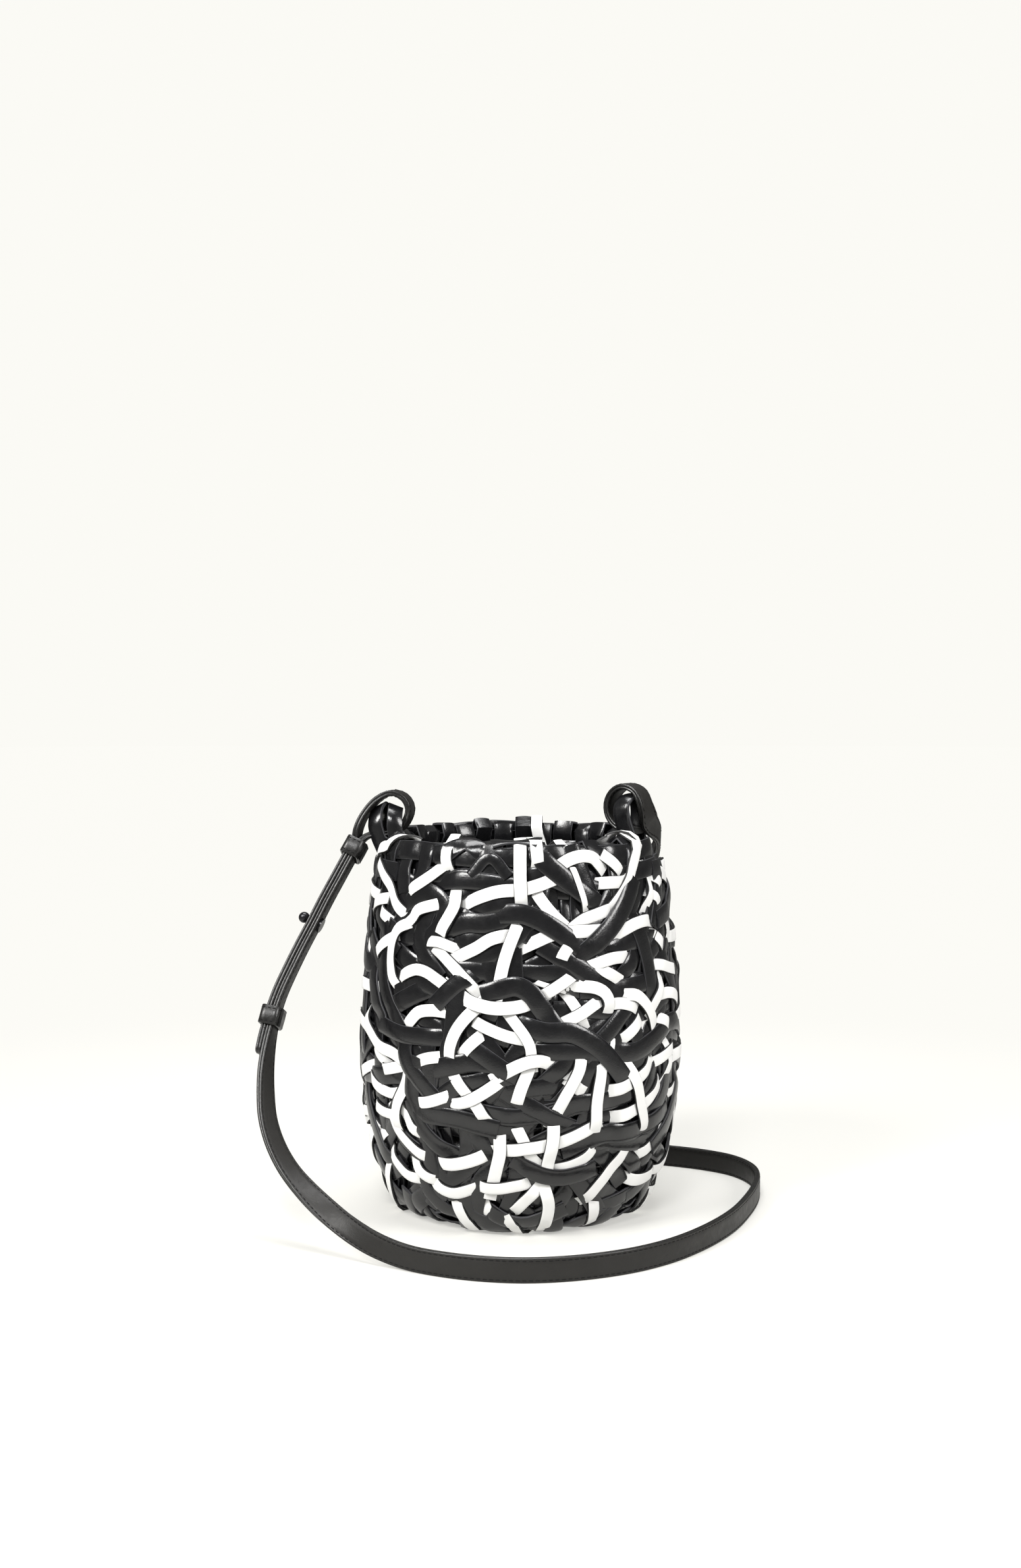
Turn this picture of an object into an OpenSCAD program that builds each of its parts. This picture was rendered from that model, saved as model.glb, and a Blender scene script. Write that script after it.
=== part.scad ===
// Woven leather bucket bag with a stitched shoulder strap.
// Millimetres, +Z up. The origin is the middle of the base, on the surface that the bag stands on.
// -Y is the front of the bag and +X its right-hand side.

/* [Body] */
// Height of the rim
rim_h = 205; // [190:1:220]
// Outside radius at the rim
rim_r = 76.5; // [74:0.5:80]
// Outside radius at the belly, the widest place
belly_r = 87.5; // [84:0.5:92]
// Height of the belly
belly_z = 90; // [80:1:100]
// Outside radius where the base turns up into the wall
base_r = 62; // [60:0.5:64]

/* [Weave] */
// Thickness of every strip of the weave
strip_t = 1.2; // [1:0.05:1.3]
// Distance from one layer of strips to the next
layer_pitch = 1.4; // [1.35:0.05:1.5]
// Width of the black strips
black_w = 10; // [8:0.5:10.5]
// Width of the white strips
white_w = 6.5; // [5:0.5:7]
// Number of upright strips round the wall
stake_count = 36; // [30:2:36]
// Width of an upright strip
stake_w = 9.4; // [8:0.2:9.4]
// Number of level strips round the wall
weaver_count = 9; // [7:1:9]
// Number of black strips that climb each way round
climber_count = 16; // [12:1:16]
// Number of strips in each layer of the base
base_strip_count = 9; // [7:2:9]

/* [Rim] */
// Number of places round the rim for a strip that folds over it
fold_places = 30; // [24:2:30]
// Width of a black folded strip
fold_w = 9.5; // [8:0.5:10]
// Width of the bands that run round the rim, outside and inside
rim_band_w = 10; // [8:0.5:10]

/* [Loops] */
// Width of each left loop
left_loop_w = 8.2; // [8:0.1:8.4]
// Clear gap between the legs of a left loop
left_loop_gap = 16; // [15:0.5:17]
// Height of the left loops' tops
left_loop_h = 215; // [214:0.5:216]
// Width of the right loop
right_loop_w = 9; // [8:0.5:9.5]
// Thickness of the loops
loop_t = 1.4; // [1.2:0.1:1.5]

/* [Strap] */
// Width of the strap
strap_w = 12; // [11:0.5:12]
// Thickness of the strap, two layers of leather
strap_t = 3; // [2.6:0.1:3]
// Gap between the strap and the tail that lies along it
lap_gap = 0.2; // [0.1:0.05:0.3]

/* [Keepers] */
// Height of a keeper along the strap
keeper_h = 10; // [8:0.5:11]
// Thickness of a keeper's leather
keeper_t = 1.4; // [1:0.1:1.6]
// Clearance round the doubled strap inside a keeper
keeper_gap = 0.6; // [0.4:0.05:0.7]

/* [Stud] */
// Diameter of the stud's round head
stud_d = 6; // [5:0.5:7]
// Diameter of the stud's post
post_d = 3; // [2.5:0.5:3.5]
// Diameter of the stud's flat back
stud_back_d = 8; // [7:0.5:9]

/* [Hidden] */
$fn = 64;

BLACK = [0.09, 0.09, 0.1];
WHITE = [0.95, 0.95, 0.93];
STRAP_BLACK = [0.2, 0.19, 0.19];
THREAD = [0.35, 0.34, 0.33];
METAL = [0.3, 0.3, 0.32];

// Layers of the wall, counted inwards from its outside face
WHITE_LEFT = 0;
WHITE_RIGHT = 1;
BLACK_LEFT = 2;
BLACK_RIGHT = 3;
WEAVER = 4;
STAKE = 5;
FOLD_INNER = 6;
BAND_INNER = 7;

wall_top = rim_h - layer_pitch;      // where the upright strips end, under the folds
climb_top = rim_h - 21;              // where the climbing strips tuck under the rim
turn_z = 3;                          // lowest height on the outline that a wall strip reaches
gate_z = rim_h - 9;                  // floor of the gaps in the rim that the strap passes through
base_disc_r = base_r - 2;
stake_foot_r = base_r - 7;
lap = strap_t + lap_gap;             // from the middle of the strap to the middle of its tail

// ---- outline and layers -------------------------------------------------------------

// Outside radius of the bag at height z: a rounded foot, then a shoulder that draws in
function wall_r(z) = z < belly_z
    ? base_r + (belly_r - base_r) * pow(1 - pow(1 - max(z, 0) / belly_z, 1.75), 0.5)
    : belly_r - (belly_r - rim_r) * pow((z - belly_z) / (rim_h - belly_z), 1.5);

// Outward normal of the outline at height z, as [r, z]
function wall_n(z) = let (d = wall_r(z + 0.5) - wall_r(z - 0.5), s = norm([1, d])) [1, -d] / s;

// A point `deep` mm inside the outline at height z, as [r, z]
function inset(z, deep) = [wall_r(z), z] - deep * wall_n(z);

// Depth of the outer face of a layer
function depth(layer) = layer * layer_pitch;

// Turns [r, z] at an angle from the front into [x, y, z]
function place(a, p) = [p[0] * sin(a), -p[0] * cos(a), p[1]];

// Heights at which the outline is sampled from lo to hi: close together round the foot
function heights(lo, hi, n) = [for (i = [0 : n]) lo + (hi - lo) * pow(i / n, 1.6)];

// The section of an upright strip in one layer, from its foot up to the top
function upright_section(layer, lo, hi, n = 16) = concat(
    [for (z = heights(lo, hi, n)) inset(z, depth(layer))],
    [for (i = [n : -1 : 0]) inset(heights(lo, hi, n)[i], depth(layer) + strip_t)]
);

// ---- swept bands ----------------------------------------------------------------------

function unit(v) = v / norm(v);
function tangent(p, i) = unit(p[min(i + 1, len(p) - 1)] - p[max(i - 1, 0)]);
function across(n, t) = unit(cross(n, t));

// Catmull-Rom curve through points p, with k steps between each two
function curve_at(a, b, c, d, t) =
    0.5 * ((2 * b) + (c - a) * t + (2 * a - 5 * b + 4 * c - d) * t * t + (3 * b - a - 3 * c + d) * t * t * t);
function curve(p, k) = concat(
    [for (i = [0 : len(p) - 2], j = [0 : k - 1])
        curve_at(p[max(i - 1, 0)], p[i], p[i + 1], p[min(i + 2, len(p) - 1)], j / k)],
    [p[len(p) - 1]]
);

// Section of a band: a rectangle with its corners cut by c, or a plain one where c is 0
function band_section(w, t, c) = c == 0
    ? [[w, t], [-w, t], [-w, -t], [w, -t]] / 2
    : [[w, t - c], [w - c, t], [c - w, t], [-w, t - c], [-w, c - t], [c - w, -t], [w - c, -t], [w, c - t]] / 2;

// A band along points p, its face turned to the normals n
module band(p, n, w, t, c = 0) {
    s = band_section(w, t, c);
    k = len(s);
    rings = len(p);
    points = [for (i = [0 : rings - 1])
        let (d = tangent(p, i), side = across(n[i], d), face = cross(d, side))
        for (q = s) p[i] + q[0] * side + q[1] * face];
    sides = [for (i = [0 : rings - 2], j = [0 : k - 1])
        let (a = i * k + j, b = i * k + (j + 1) % k)
        each [[a, a + k, b + k], [a, b + k, b]]];
    caps = [[for (j = [0 : k - 1]) j], [for (j = [k - 1 : -1 : 0]) (rings - 1) * k + j]];
    polyhedron(points, concat(sides, caps), convexity = 6);
}

// A strip on the wall from [angle, height] to [angle, height], in one layer
module wall_strip(from, to, layer, w, steps) {
    at = [for (i = [0 : steps]) from + (to - from) * i / steps];
    mid = depth(layer) + strip_t / 2;
    band([for (q = at) place(q[0], inset(q[1], mid))],
         [for (q = at) place(q[0], wall_n(q[1]))], w, strip_t);
}

// ---- base -------------------------------------------------------------------------------

// One layer of parallel strips across the base, turned by `turn`
module base_layer(level, turn, w) {
    pitch = 2 * base_disc_r / base_strip_count;
    translate([0, 0, level * layer_pitch]) rotate(turn) intersection() {
        cylinder(r = base_disc_r, h = strip_t);
        for (i = [0 : base_strip_count - 1])
            translate([-base_r, (i - (base_strip_count - 1) / 2) * pitch - w / 2, 0])
                cube([2 * base_r, w, strip_t]);
    }
}

module base_layer_1() { color(BLACK) base_layer(0, 0, black_w); }
module base_layer_2() { color(BLACK) base_layer(1, 90, black_w); }
module base_layer_3() { color(WHITE) base_layer(2, 45, white_w); }
module base_layer_4() { color(BLACK) base_layer(3, -45, black_w); }
module base_layer_5() { color(BLACK) base_layer(4, 0, black_w); }

// ---- wall -------------------------------------------------------------------------------

// The gaps in the rim for the strap: on the left and on the right
module gates() {
    gate_l = 30;
    gate_h = 30;
    translate([-rim_r - gate_l / 2, -10, gate_z]) cube([gate_l, 20, gate_h]);
    translate([rim_r - gate_l / 2, -20, gate_z]) cube([gate_l, 46, gate_h]);
}

// An upright solid of the wall at angle a, w wide, from a section in [r, z]
module upright(a, section, w) {
    rotate(a - 90) rotate([90, 0, 0]) translate([0, 0, -w / 2]) linear_extrude(w) polygon(section);
}

module wall_stakes() {
    foot = depth(STAKE);
    section = concat(
        [[stake_foot_r, foot]], upright_section(STAKE, turn_z, wall_top), [[stake_foot_r, foot + strip_t]]
    );
    color(BLACK) difference() {
        for (i = [0 : stake_count - 1]) upright(i * 360 / stake_count, section, stake_w);
        gates();
    }
}

// A level strip right round the wall, centred on height z
module ring(layer, z, w) {
    rotate_extrude() polygon([
        inset(z - w / 2, depth(layer)), inset(z + w / 2, depth(layer)),
        inset(z + w / 2, depth(layer) + strip_t), inset(z - w / 2, depth(layer) + strip_t)
    ]);
}

module level_weavers() {
    lowest = 22;
    highest = rim_h - 27;
    color(BLACK) for (i = [0 : weaver_count - 1])
        ring(WEAVER, lowest + i * (highest - lowest) / (weaver_count - 1), black_w);
}

// Strips that climb the whole wall, all leaning one way
module climbers(layer, lean) {
    twist = 80;
    steps = 22;
    for (i = [0 : climber_count - 1]) let (a = i * 360 / climber_count)
        wall_strip([a, turn_z + 2], [a + lean * twist, climb_top], layer, black_w, steps);
}

module black_left_climbers() { color(BLACK) climbers(BLACK_LEFT, -1); }
module black_right_climbers() { color(BLACK) climbers(BLACK_RIGHT, 1); }

// Short white strips in rows, all leaning one way
module white_rows(layer, lean, first_z, each_row) {
    rows = 4;
    row_pitch = 42;
    rise = 34;
    turn = 48;
    steps = 9;
    for (row = [0 : rows - 1], i = [0 : each_row - 1])
        let (a = (i + row * 0.5) * 360 / each_row, z = first_z + row * row_pitch)
            wall_strip([a, z], [a + lean * turn, z + rise], layer, white_w, steps);
}

module white_left_climbers() { color(WHITE) white_rows(WHITE_LEFT, -1, 10, 6); }
module white_right_climbers() { color(WHITE) white_rows(WHITE_RIGHT, 1, 22, 6); }

// ---- rim --------------------------------------------------------------------------------

module rim_band_outer() {
    color(BLACK) difference() {
        ring(WHITE_RIGHT, rim_h - 12, rim_band_w);
        gates();
    }
}

module rim_band_inner() {
    color(BLACK) difference() {
        ring(BAND_INNER, rim_h - 12, rim_band_w);
        gates();
    }
}

// A strip that comes up outside, folds over the rim and goes down inside
module rim_fold(a, w, outside_l, inside_l) {
    inner_face = depth(FOLD_INNER) + strip_t;
    upright(a, [
        inset(rim_h - outside_l, 0), inset(rim_h, 0), inset(rim_h, inner_face),
        inset(rim_h - inside_l, inner_face), inset(rim_h - inside_l, depth(FOLD_INNER)),
        inset(wall_top + 0.2, depth(FOLD_INNER)), inset(wall_top + 0.2, strip_t),
        inset(rim_h - outside_l, strip_t)
    ], w);
}

// Whether a fold at angle a would stand in one of the gaps in the rim
function in_gate(a) = abs(a - 270) < 14 || abs(a - 92) < 20;
// Every sixth place, counted from the front, has a white strip
function is_white(i) = i % 6 == 4;

module rim_folds(white, w, outside_l, inside_l) {
    for (i = [0 : fold_places - 1]) let (a = (i + 0.5) * 360 / fold_places)
        if (!in_gate(a) && is_white(i) == white) rim_fold(a, w, outside_l, inside_l);
}

module rim_folds_black() { color(BLACK) rim_folds(false, fold_w, 19, 16); }
module rim_folds_white() { color(WHITE) rim_folds(true, white_w, 20, 12); }

// ---- loops ------------------------------------------------------------------------------

// An upright arch across the left gap, its near edge at x
module left_loop(x) {
    outer = left_loop_gap / 2 + loop_t;
    crown_z = left_loop_h - outer;
    leg = crown_z - gate_z - 0.2;
    translate([x, 0, crown_z]) rotate([90, 0, 90]) linear_extrude(left_loop_w) {
        difference() {
            circle(r = outer);
            circle(r = left_loop_gap / 2);
            translate([-outer, -outer]) square([2 * outer, outer]);
        }
        for (side = [-1, 1]) translate([side * (left_loop_gap + loop_t) / 2 - loop_t / 2, -leg])
            square([loop_t, leg]);
    }
}

module left_loop_outer() { color(BLACK) left_loop(-80.2); }
module left_loop_inner() { color(BLACK) left_loop(-71.7); }

// White strips that cross the foot of the loops, just outside the wall
module left_loop_binding() { color(WHITE) wall_strip([-106, 182], [-54, 200], -1, white_w, 14); }
module right_loop_binding() { color(WHITE) wall_strip([40, 201], [86, 182], -1, white_w, 14); }

// Route of the right loop, up from the inside of the rim, over and down again
RIGHT_LOOP = [
    [60, -13.6, 191], [57.8, -13.2, 200], [55, -12.4, 209], [54, -12, 217], [56.5, -9, 222],
    [60, -4.5, 223.4], [63, -0.5, 221.5], [64.2, 2.4, 215], [64, 2.6, 207], [64, 2.6, 197.2]
];
RIGHT_LOOP_MIDDLE = [60, -4.5, 206];

module right_loop() {
    route = curve(RIGHT_LOOP, 3);
    color(BLACK) band(route, [for (p = route) p - RIGHT_LOOP_MIDDLE], right_loop_w, loop_t);
}

// ---- strap ------------------------------------------------------------------------------

// The strap from the left loops down to the surface, round the front and back up behind to
// the right loop: each row is a point on its middle line and the way its width runs there
STRAP = [
    [[-70, 0.3, 202.8], [0.05, 1, 0]], [[-76.5, -0.6, 202], [0.05, 1, 0]],
    [[-82, -2.4, 201.2], [0.1, 1, 0]], [[-86, -5.2, 198.2], [0.2, 1, 0]],
    [[-88.7, -7.2, 193.4], [0.2, 1, 0]], [[-91.4, -8.9, 188.5], [0.2, 1, 0]],
    [[-96.8, -11.5, 178.5], [0.2, 1, 0]], [[-103, -14, 167], [0.2, 1, 0]],
    [[-109, -17, 155], [0.2, 1, 0]], [[-115.5, -20.5, 142.5], [0.2, 1, 0]],
    [[-121.5, -24.5, 130], [0.2, 1, 0]], [[-126.5, -28.5, 118.5], [0.2, 1, 0]],
    [[-130, -32.5, 107], [0.2, 1, 0.1]], [[-132.3, -37.5, 95], [0.3, 1, 0.1]],
    [[-133.3, -43.5, 83], [0.4, 1, 0.2]], [[-132.8, -50, 71], [0.4, 1, 0.3]],
    [[-130.8, -57.5, 59], [0.4, 1, 0.25]], [[-126, -65, 47.5], [0.4, 1, 0.3]],
    [[-118.5, -73, 37], [0.35, 0.95, 0.35]], [[-108.5, -81.5, 28], [0.3, 0.85, 0.5]],
    [[-97, -90.5, 20], [0.2, 0.65, 0.7]], [[-84.5, -100.5, 13.5], [0.15, 0.4, 0.9]],
    [[-71, -111.5, 9], [0.05, 0.2, 1]], [[-55, -122.5, 6.4], [0, 0, 1]],
    [[-37.5, -132, 6], [0, 0, 1]], [[-19, -138.5, 6], [0, 0, 1]],
    [[0, -141, 6], [0, 0, 1]], [[19, -139, 6], [0, 0, 1]],
    [[38, -133, 6], [0, 0, 1]], [[57, -123, 6], [0, 0, 1]],
    [[76, -107, 6], [0, 0, 1]], [[94, -84.5, 6], [0, 0, 1]],
    [[109, -59, 6], [0, 0, 1]], [[120, -32, 6], [0, 0, 1]],
    [[128, -6, 6], [0, 0, 1]], [[132, 17, 6], [0, 0, 1]],
    [[130.5, 36, 6], [0, 0, 1]], [[122.5, 53, 6], [0, 0, 1]],
    [[109, 65, 6], [0, 0, 1]], [[92, 74, 6], [0, 0, 1]],
    [[71, 82, 6], [0, 0, 1]], [[48, 90, 6.2], [0, 0, 1]],
    [[25, 99, 9], [0, 0, 1]], [[5, 107, 17], [0.1, 0.1, 1]],
    [[-9, 112.5, 31], [0.3, 0.3, 0.9]], [[-15, 115, 50], [0.4, 0.7, 0.5]],
    [[-13, 115, 72], [0.4, 0.9, 0.1]], [[-3, 112, 94], [0.3, 1, 0]],
    [[11, 107, 114], [0.2, 1, 0]], [[27, 98, 132], [0.2, 1, 0]],
    [[43, 85, 149], [0.1, 1, 0.2]], [[58, 69, 164], [0, 0.9, 0.4]],
    [[69, 51, 177], [0, 0.7, 0.7]], [[75.3, 34, 188], [0, 0.6, 0.8]],
    [[77.8, 20, 197.5], [0.1, 0.6, 0.8]], [[75.6, 10, 203.6], [0.2, 0.7, 0.7]],
    [[71.6, 1, 207], [0.5, 0.8, 0.4]], [[68.8, -6.3, 210.8], [0.6, 0.8, 0]]
];

// The fold over the left loops, from the top of the tail to the start of the strap
LEFT_FOLD = [
    [-87.6, -4.9, 205.5], [-84.4, -3.6, 212.5], [-78.4, -1.7, 220], [-70.5, 0.3, 224.2],
    [-63.3, 1.2, 222], [-60, 1.4, 216], [-61.6, 1.2, 209.5], [-65.2, 0.8, 204.8]
];

// The fold over the right loop, from the end of the strap to its stitched end
RIGHT_FOLD = [
    [67.2, -9.6, 217.5], [64, -7.6, 225.4], [57.6, -2.8, 228.2], [52.3, 1, 225.2],
    [49.5, 3, 219], [50.2, 2.5, 212], [54, -0.2, 206.7], [60, -4.3, 204.6], [64.2, -6.9, 204.2]
];
LEFT_FOLD_WIDTH = [0.2, 1, 0];
RIGHT_FOLD_WIDTH = [0.58, 0.81, 0];

// Rows of STRAP where the tail starts, where it ends, and where the parts on it sit
TAIL_TOP = 3;
TAIL_END = 13.5;
UPPER_KEEPER = 4;
STUD = 8;
LOWER_KEEPER = 12;
strap_steps = 2;    // sweep steps between two rows
tip_gap = 0.3;      // from the tail to its free end

strap_route = curve([for (q = STRAP) q[0]], strap_steps);
strap_width = curve([for (q = STRAP) q[1]], strap_steps);
strap_last = len(strap_route) - 1;

// Frame of the strap at step i of its route: along it, across it and out of its face
function along(i) = tangent(strap_route, i);
function width_at(i) = let (t = along(i), w = strap_width[i]) unit(w - (w * t) * t);
function face_at(i) = cross(along(i), width_at(i));
// A point in the middle of the tail, beside step i of the strap
function tail_at(i) = strap_route[i] - lap * face_at(i);
strap_faces = [for (i = [0 : strap_last]) face_at(i)];

tail_first = TAIL_TOP * strap_steps;
tip_first = LOWER_KEEPER * strap_steps + 1;
tail_last = TAIL_END * strap_steps;

// Normals for points whose width runs along w
function faces(p, w) = [for (i = [0 : len(p) - 1]) cross(tangent(p, i), w)];

module strap_band(p, n) {
    color(STRAP_BLACK) band(p, n, strap_w, strap_t, 1);
}

module strap_main() { strap_band(strap_route, strap_faces); }

module strap_tail_part(first, last) {
    strap_band([for (i = [first : last]) tail_at(i)], [for (i = [first : last]) face_at(i)]);
}

module strap_tail() { strap_tail_part(tail_first, tip_first); }

// The tail's free end, a hair's breadth below the rest of it
module strap_tail_tip() {
    steps = [for (i = [tip_first : tail_last]) i];
    at = [for (i = steps) tail_at(i)];
    strap_band(concat([at[0] + tip_gap * unit(at[1] - at[0])], [for (i = [1 : len(at) - 1]) at[i]]),
               [for (i = steps) face_at(i)]);
}

module strap_left_fold() {
    route = curve(concat([tail_at(tail_first)], LEFT_FOLD, [strap_route[0]]), 2);
    strap_band(route, faces(route, LEFT_FOLD_WIDTH));
}

module strap_right_fold() {
    route = curve(concat([strap_route[strap_last]], RIGHT_FOLD), 2);
    strap_band(route, faces(route, RIGHT_FOLD_WIDTH));
}

// Puts a child on the doubled strap at row `row`: X across, Y out of the tail, Z up the strap
module on_strap(row) {
    i = row * strap_steps;
    x = width_at(i);
    y = -face_at(i);
    z = -along(i);
    p = strap_route[i] - lap / 2 * face_at(i);
    multmatrix([[x[0], y[0], z[0], p[0]], [x[1], y[1], z[1], p[1]], [x[2], y[2], z[2], p[2]], [0, 0, 0, 1]])
        children();
}

// ---- keepers and stud -------------------------------------------------------------------

keeper_in_x = strap_w + 2 * keeper_gap;
keeper_in_y = strap_t + lap + 2 * keeper_gap;

module keeper() {
    x = keeper_in_x + 2 * keeper_t;
    y = keeper_in_y + 2 * keeper_t;
    color(STRAP_BLACK) translate([0, 0, -keeper_h / 2]) difference() {
        translate([-x / 2, -y / 2, 0]) cube([x, y, keeper_h]);
        translate([-keeper_in_x / 2, -keeper_in_y / 2, -1]) cube([keeper_in_x, keeper_in_y, keeper_h + 2]);
    }
}

// Two rows of stitches on a keeper's outside, just in from its edges
module keeper_stitches() {
    stitch = [2, 0.4, 0.6];
    inset_z = 1.5;
    pitch = 3;
    face = keeper_in_y / 2 + keeper_t;
    color(THREAD) for (z = [-1, 1], i = [-2 : 2], side = [0, 1])
        mirror([0, side, 0])
            translate([i * pitch - stitch[0] / 2, face, z * (keeper_h / 2 - inset_z) - stitch[2] / 2])
                cube(stitch);
}

module upper_keeper() { on_strap(UPPER_KEEPER) keeper(); }
module upper_keeper_stitches() { on_strap(UPPER_KEEPER) keeper_stitches(); }
module lower_keeper() { on_strap(LOWER_KEEPER) keeper(); }
module lower_keeper_stitches() { on_strap(LOWER_KEEPER) keeper_stitches(); }

stud_face = (strap_t + lap) / 2 + 0.05;

module stud_head() {
    neck = 0.8;
    color(METAL) on_strap(STUD) rotate([-90, 0, 0]) rotate_extrude() intersection() {
        union() {
            translate([0, stud_face]) square([post_d / 2, neck + 1]);
            translate([0, stud_face + neck + stud_d / 2 - 0.6]) circle(d = stud_d);
        }
        translate([0, stud_face]) square([stud_d, 2 * stud_d]);
    }
}

module stud_post() {
    color(METAL) on_strap(STUD) rotate([-90, 0, 0])
        translate([0, 0, -stud_face]) cylinder(d = post_d, h = 2 * stud_face);
}

module stud_back() {
    thick = 1.2;
    color(METAL) on_strap(STUD) rotate([90, 0, 0])
        translate([0, 0, stud_face]) cylinder(d = stud_back_d, h = thick);
}

base_layer_1();
base_layer_2();
base_layer_3();
base_layer_4();
base_layer_5();
wall_stakes();
level_weavers();
black_left_climbers();
black_right_climbers();
white_left_climbers();
white_right_climbers();
rim_band_outer();
rim_band_inner();
rim_folds_black();
rim_folds_white();
left_loop_outer();
left_loop_inner();
left_loop_binding();
right_loop();
right_loop_binding();
strap_main();
strap_left_fold();
strap_tail();
strap_tail_tip();
strap_right_fold();
upper_keeper();
upper_keeper_stitches();
lower_keeper();
lower_keeper_stitches();
stud_head();
stud_post();
stud_back();
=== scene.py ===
import math

import bpy
import numpy as np
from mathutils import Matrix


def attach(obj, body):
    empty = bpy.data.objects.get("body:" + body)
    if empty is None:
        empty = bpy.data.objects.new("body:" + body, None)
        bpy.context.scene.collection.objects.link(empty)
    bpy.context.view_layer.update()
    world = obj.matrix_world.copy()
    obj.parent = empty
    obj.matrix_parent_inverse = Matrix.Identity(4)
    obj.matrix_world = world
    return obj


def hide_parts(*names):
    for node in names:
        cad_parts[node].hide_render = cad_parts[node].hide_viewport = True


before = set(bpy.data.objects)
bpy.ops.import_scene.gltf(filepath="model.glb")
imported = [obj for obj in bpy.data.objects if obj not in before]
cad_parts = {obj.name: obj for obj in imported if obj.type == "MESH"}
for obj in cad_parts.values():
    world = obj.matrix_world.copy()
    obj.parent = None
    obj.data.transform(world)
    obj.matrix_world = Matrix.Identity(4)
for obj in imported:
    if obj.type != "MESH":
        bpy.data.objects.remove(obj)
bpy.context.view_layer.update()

# Lengths are in millimetres until a mesh is made, where MM turns them into metres.
# -Y is the front of the bag, +X its right-hand side, and angles run from the front to the right.
MM = 0.001
RIM_H, RIM_R, BELLY_R, BELLY_Z, BASE_R = 205.0, 76.5, 87.5, 90.0, 62.0

# ---- camera ----

camera = bpy.data.objects.new("camera", bpy.data.cameras.new("camera"))
bpy.context.scene.collection.objects.link(camera)
camera.location = (-0.0055, -1.0, 0.278)
camera.rotation_euler = (math.radians(90 - 2.8), 0, 0)
camera.data.lens, camera.data.sensor_width = 42.35, 36
camera.data.clip_start, camera.data.clip_end = 0.01, 50
bpy.context.scene.camera = camera

# ---- materials ----


def put(node, values):
    """Sets a node's inputs by their names."""
    for key, value in values.items():
        node.inputs[key].default_value = value


def material(name, base, other, rough=(0.35, 0.5), grain=1400, bump=0.25, blotch=90,
             wrinkle=0.15, level=0.5):
    """Leather, thread or coated metal: two colours mottled together, with grain and fine creases."""
    m = bpy.data.materials.new(name)
    m.use_nodes = True
    n, link = m.node_tree.nodes, m.node_tree.links.new
    shader = n["Principled BSDF"]
    where = n.new("ShaderNodeTexCoord").outputs["Object"]

    def noise(scale, detail=3.0):
        t = n.new("ShaderNodeTexNoise")
        put(t, {"Scale": scale, "Detail": detail})
        link(where, t.inputs["Vector"])
        return t.outputs["Fac"]

    mix = n.new("ShaderNodeMix")
    mix.data_type = "RGBA"
    link(noise(blotch), mix.inputs["Factor"])
    put(mix, {"A": (*base, 1), "B": (*other, 1)})
    link(mix.outputs["Result"], shader.inputs["Base Color"])
    spread = n.new("ShaderNodeMapRange")
    put(spread, {"From Min": 0.3, "From Max": 0.7, "To Min": rough[0], "To Max": rough[1]})
    link(noise(blotch * 3), spread.inputs["Value"])
    link(spread.outputs["Result"], shader.inputs["Roughness"])
    cells = n.new("ShaderNodeTexVoronoi")
    cells.feature = "SMOOTH_F1"
    put(cells, {"Scale": grain})
    link(where, cells.inputs["Vector"])
    fine = n.new("ShaderNodeBump")
    put(fine, {"Strength": bump, "Distance": 0.0002})
    link(cells.outputs["Distance"], fine.inputs["Height"])
    crease = n.new("ShaderNodeBump")
    put(crease, {"Strength": wrinkle, "Distance": 0.0006})
    link(noise(blotch * 4, 4.0), crease.inputs["Height"])
    link(fine.outputs["Normal"], crease.inputs["Normal"])
    link(crease.outputs["Normal"], shader.inputs["Normal"])
    put(shader, {"Specular IOR Level": level})
    return m


BLACK = material("black_leather", (0.004, 0.004, 0.0045), (0.009, 0.009, 0.01), (0.17, 0.27),
                 bump=0.15, wrinkle=0.12, level=0.6)
BLACK_EDGE = material("black_cut_edge", (0.02, 0.02, 0.022), (0.06, 0.06, 0.065), (0.4, 0.6),
                      bump=0.4, level=0.3)
WHITE = material("white_leather", (0.78, 0.78, 0.77), (0.84, 0.84, 0.825), (0.38, 0.5),
                 bump=0.12, wrinkle=0.12)
WHITE_EDGE = material("white_strip_edge", (0.012, 0.012, 0.012), (0.04, 0.04, 0.04), (0.5, 0.7),
                      bump=0.4, level=0.3)
STRAP = material("strap_leather", (0.011, 0.0104, 0.0095), (0.017, 0.016, 0.0148), (0.42, 0.52),
                 1900, 0.2, wrinkle=0.12, level=0.3)
STRAP_EDGE = material("strap_edge", (0.007, 0.0068, 0.0065), (0.013, 0.0126, 0.012), (0.26, 0.42),
                      900, 0.15, 200)
KEEPER = material("keeper_leather", (0.005, 0.005, 0.005), (0.009, 0.009, 0.0088), (0.3, 0.42),
                  1900, 0.2, wrinkle=0.2)
THREAD = material("sewing_thread", (0.003, 0.003, 0.003), (0.008, 0.008, 0.008), (0.6, 0.75),
                  3000, 0.5, 500, level=0.15)
METAL = material("coated_stud", (0.02, 0.02, 0.022), (0.03, 0.03, 0.032), (0.2, 0.28),
                 2500, 0.04, wrinkle=0.02)
put(METAL.node_tree.nodes["Principled BSDF"], {"Metallic": 0.6})

# ---- meshes ----


def unit(v):
    v = np.asarray(v, float)
    return v / np.maximum(np.linalg.norm(v, axis=-1, keepdims=True), 1e-9)


def square(side, along):
    """The part of side that stands square to along, one unit long."""
    return unit(side - (side * along).sum(1, keepdims=True) * along)


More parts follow.
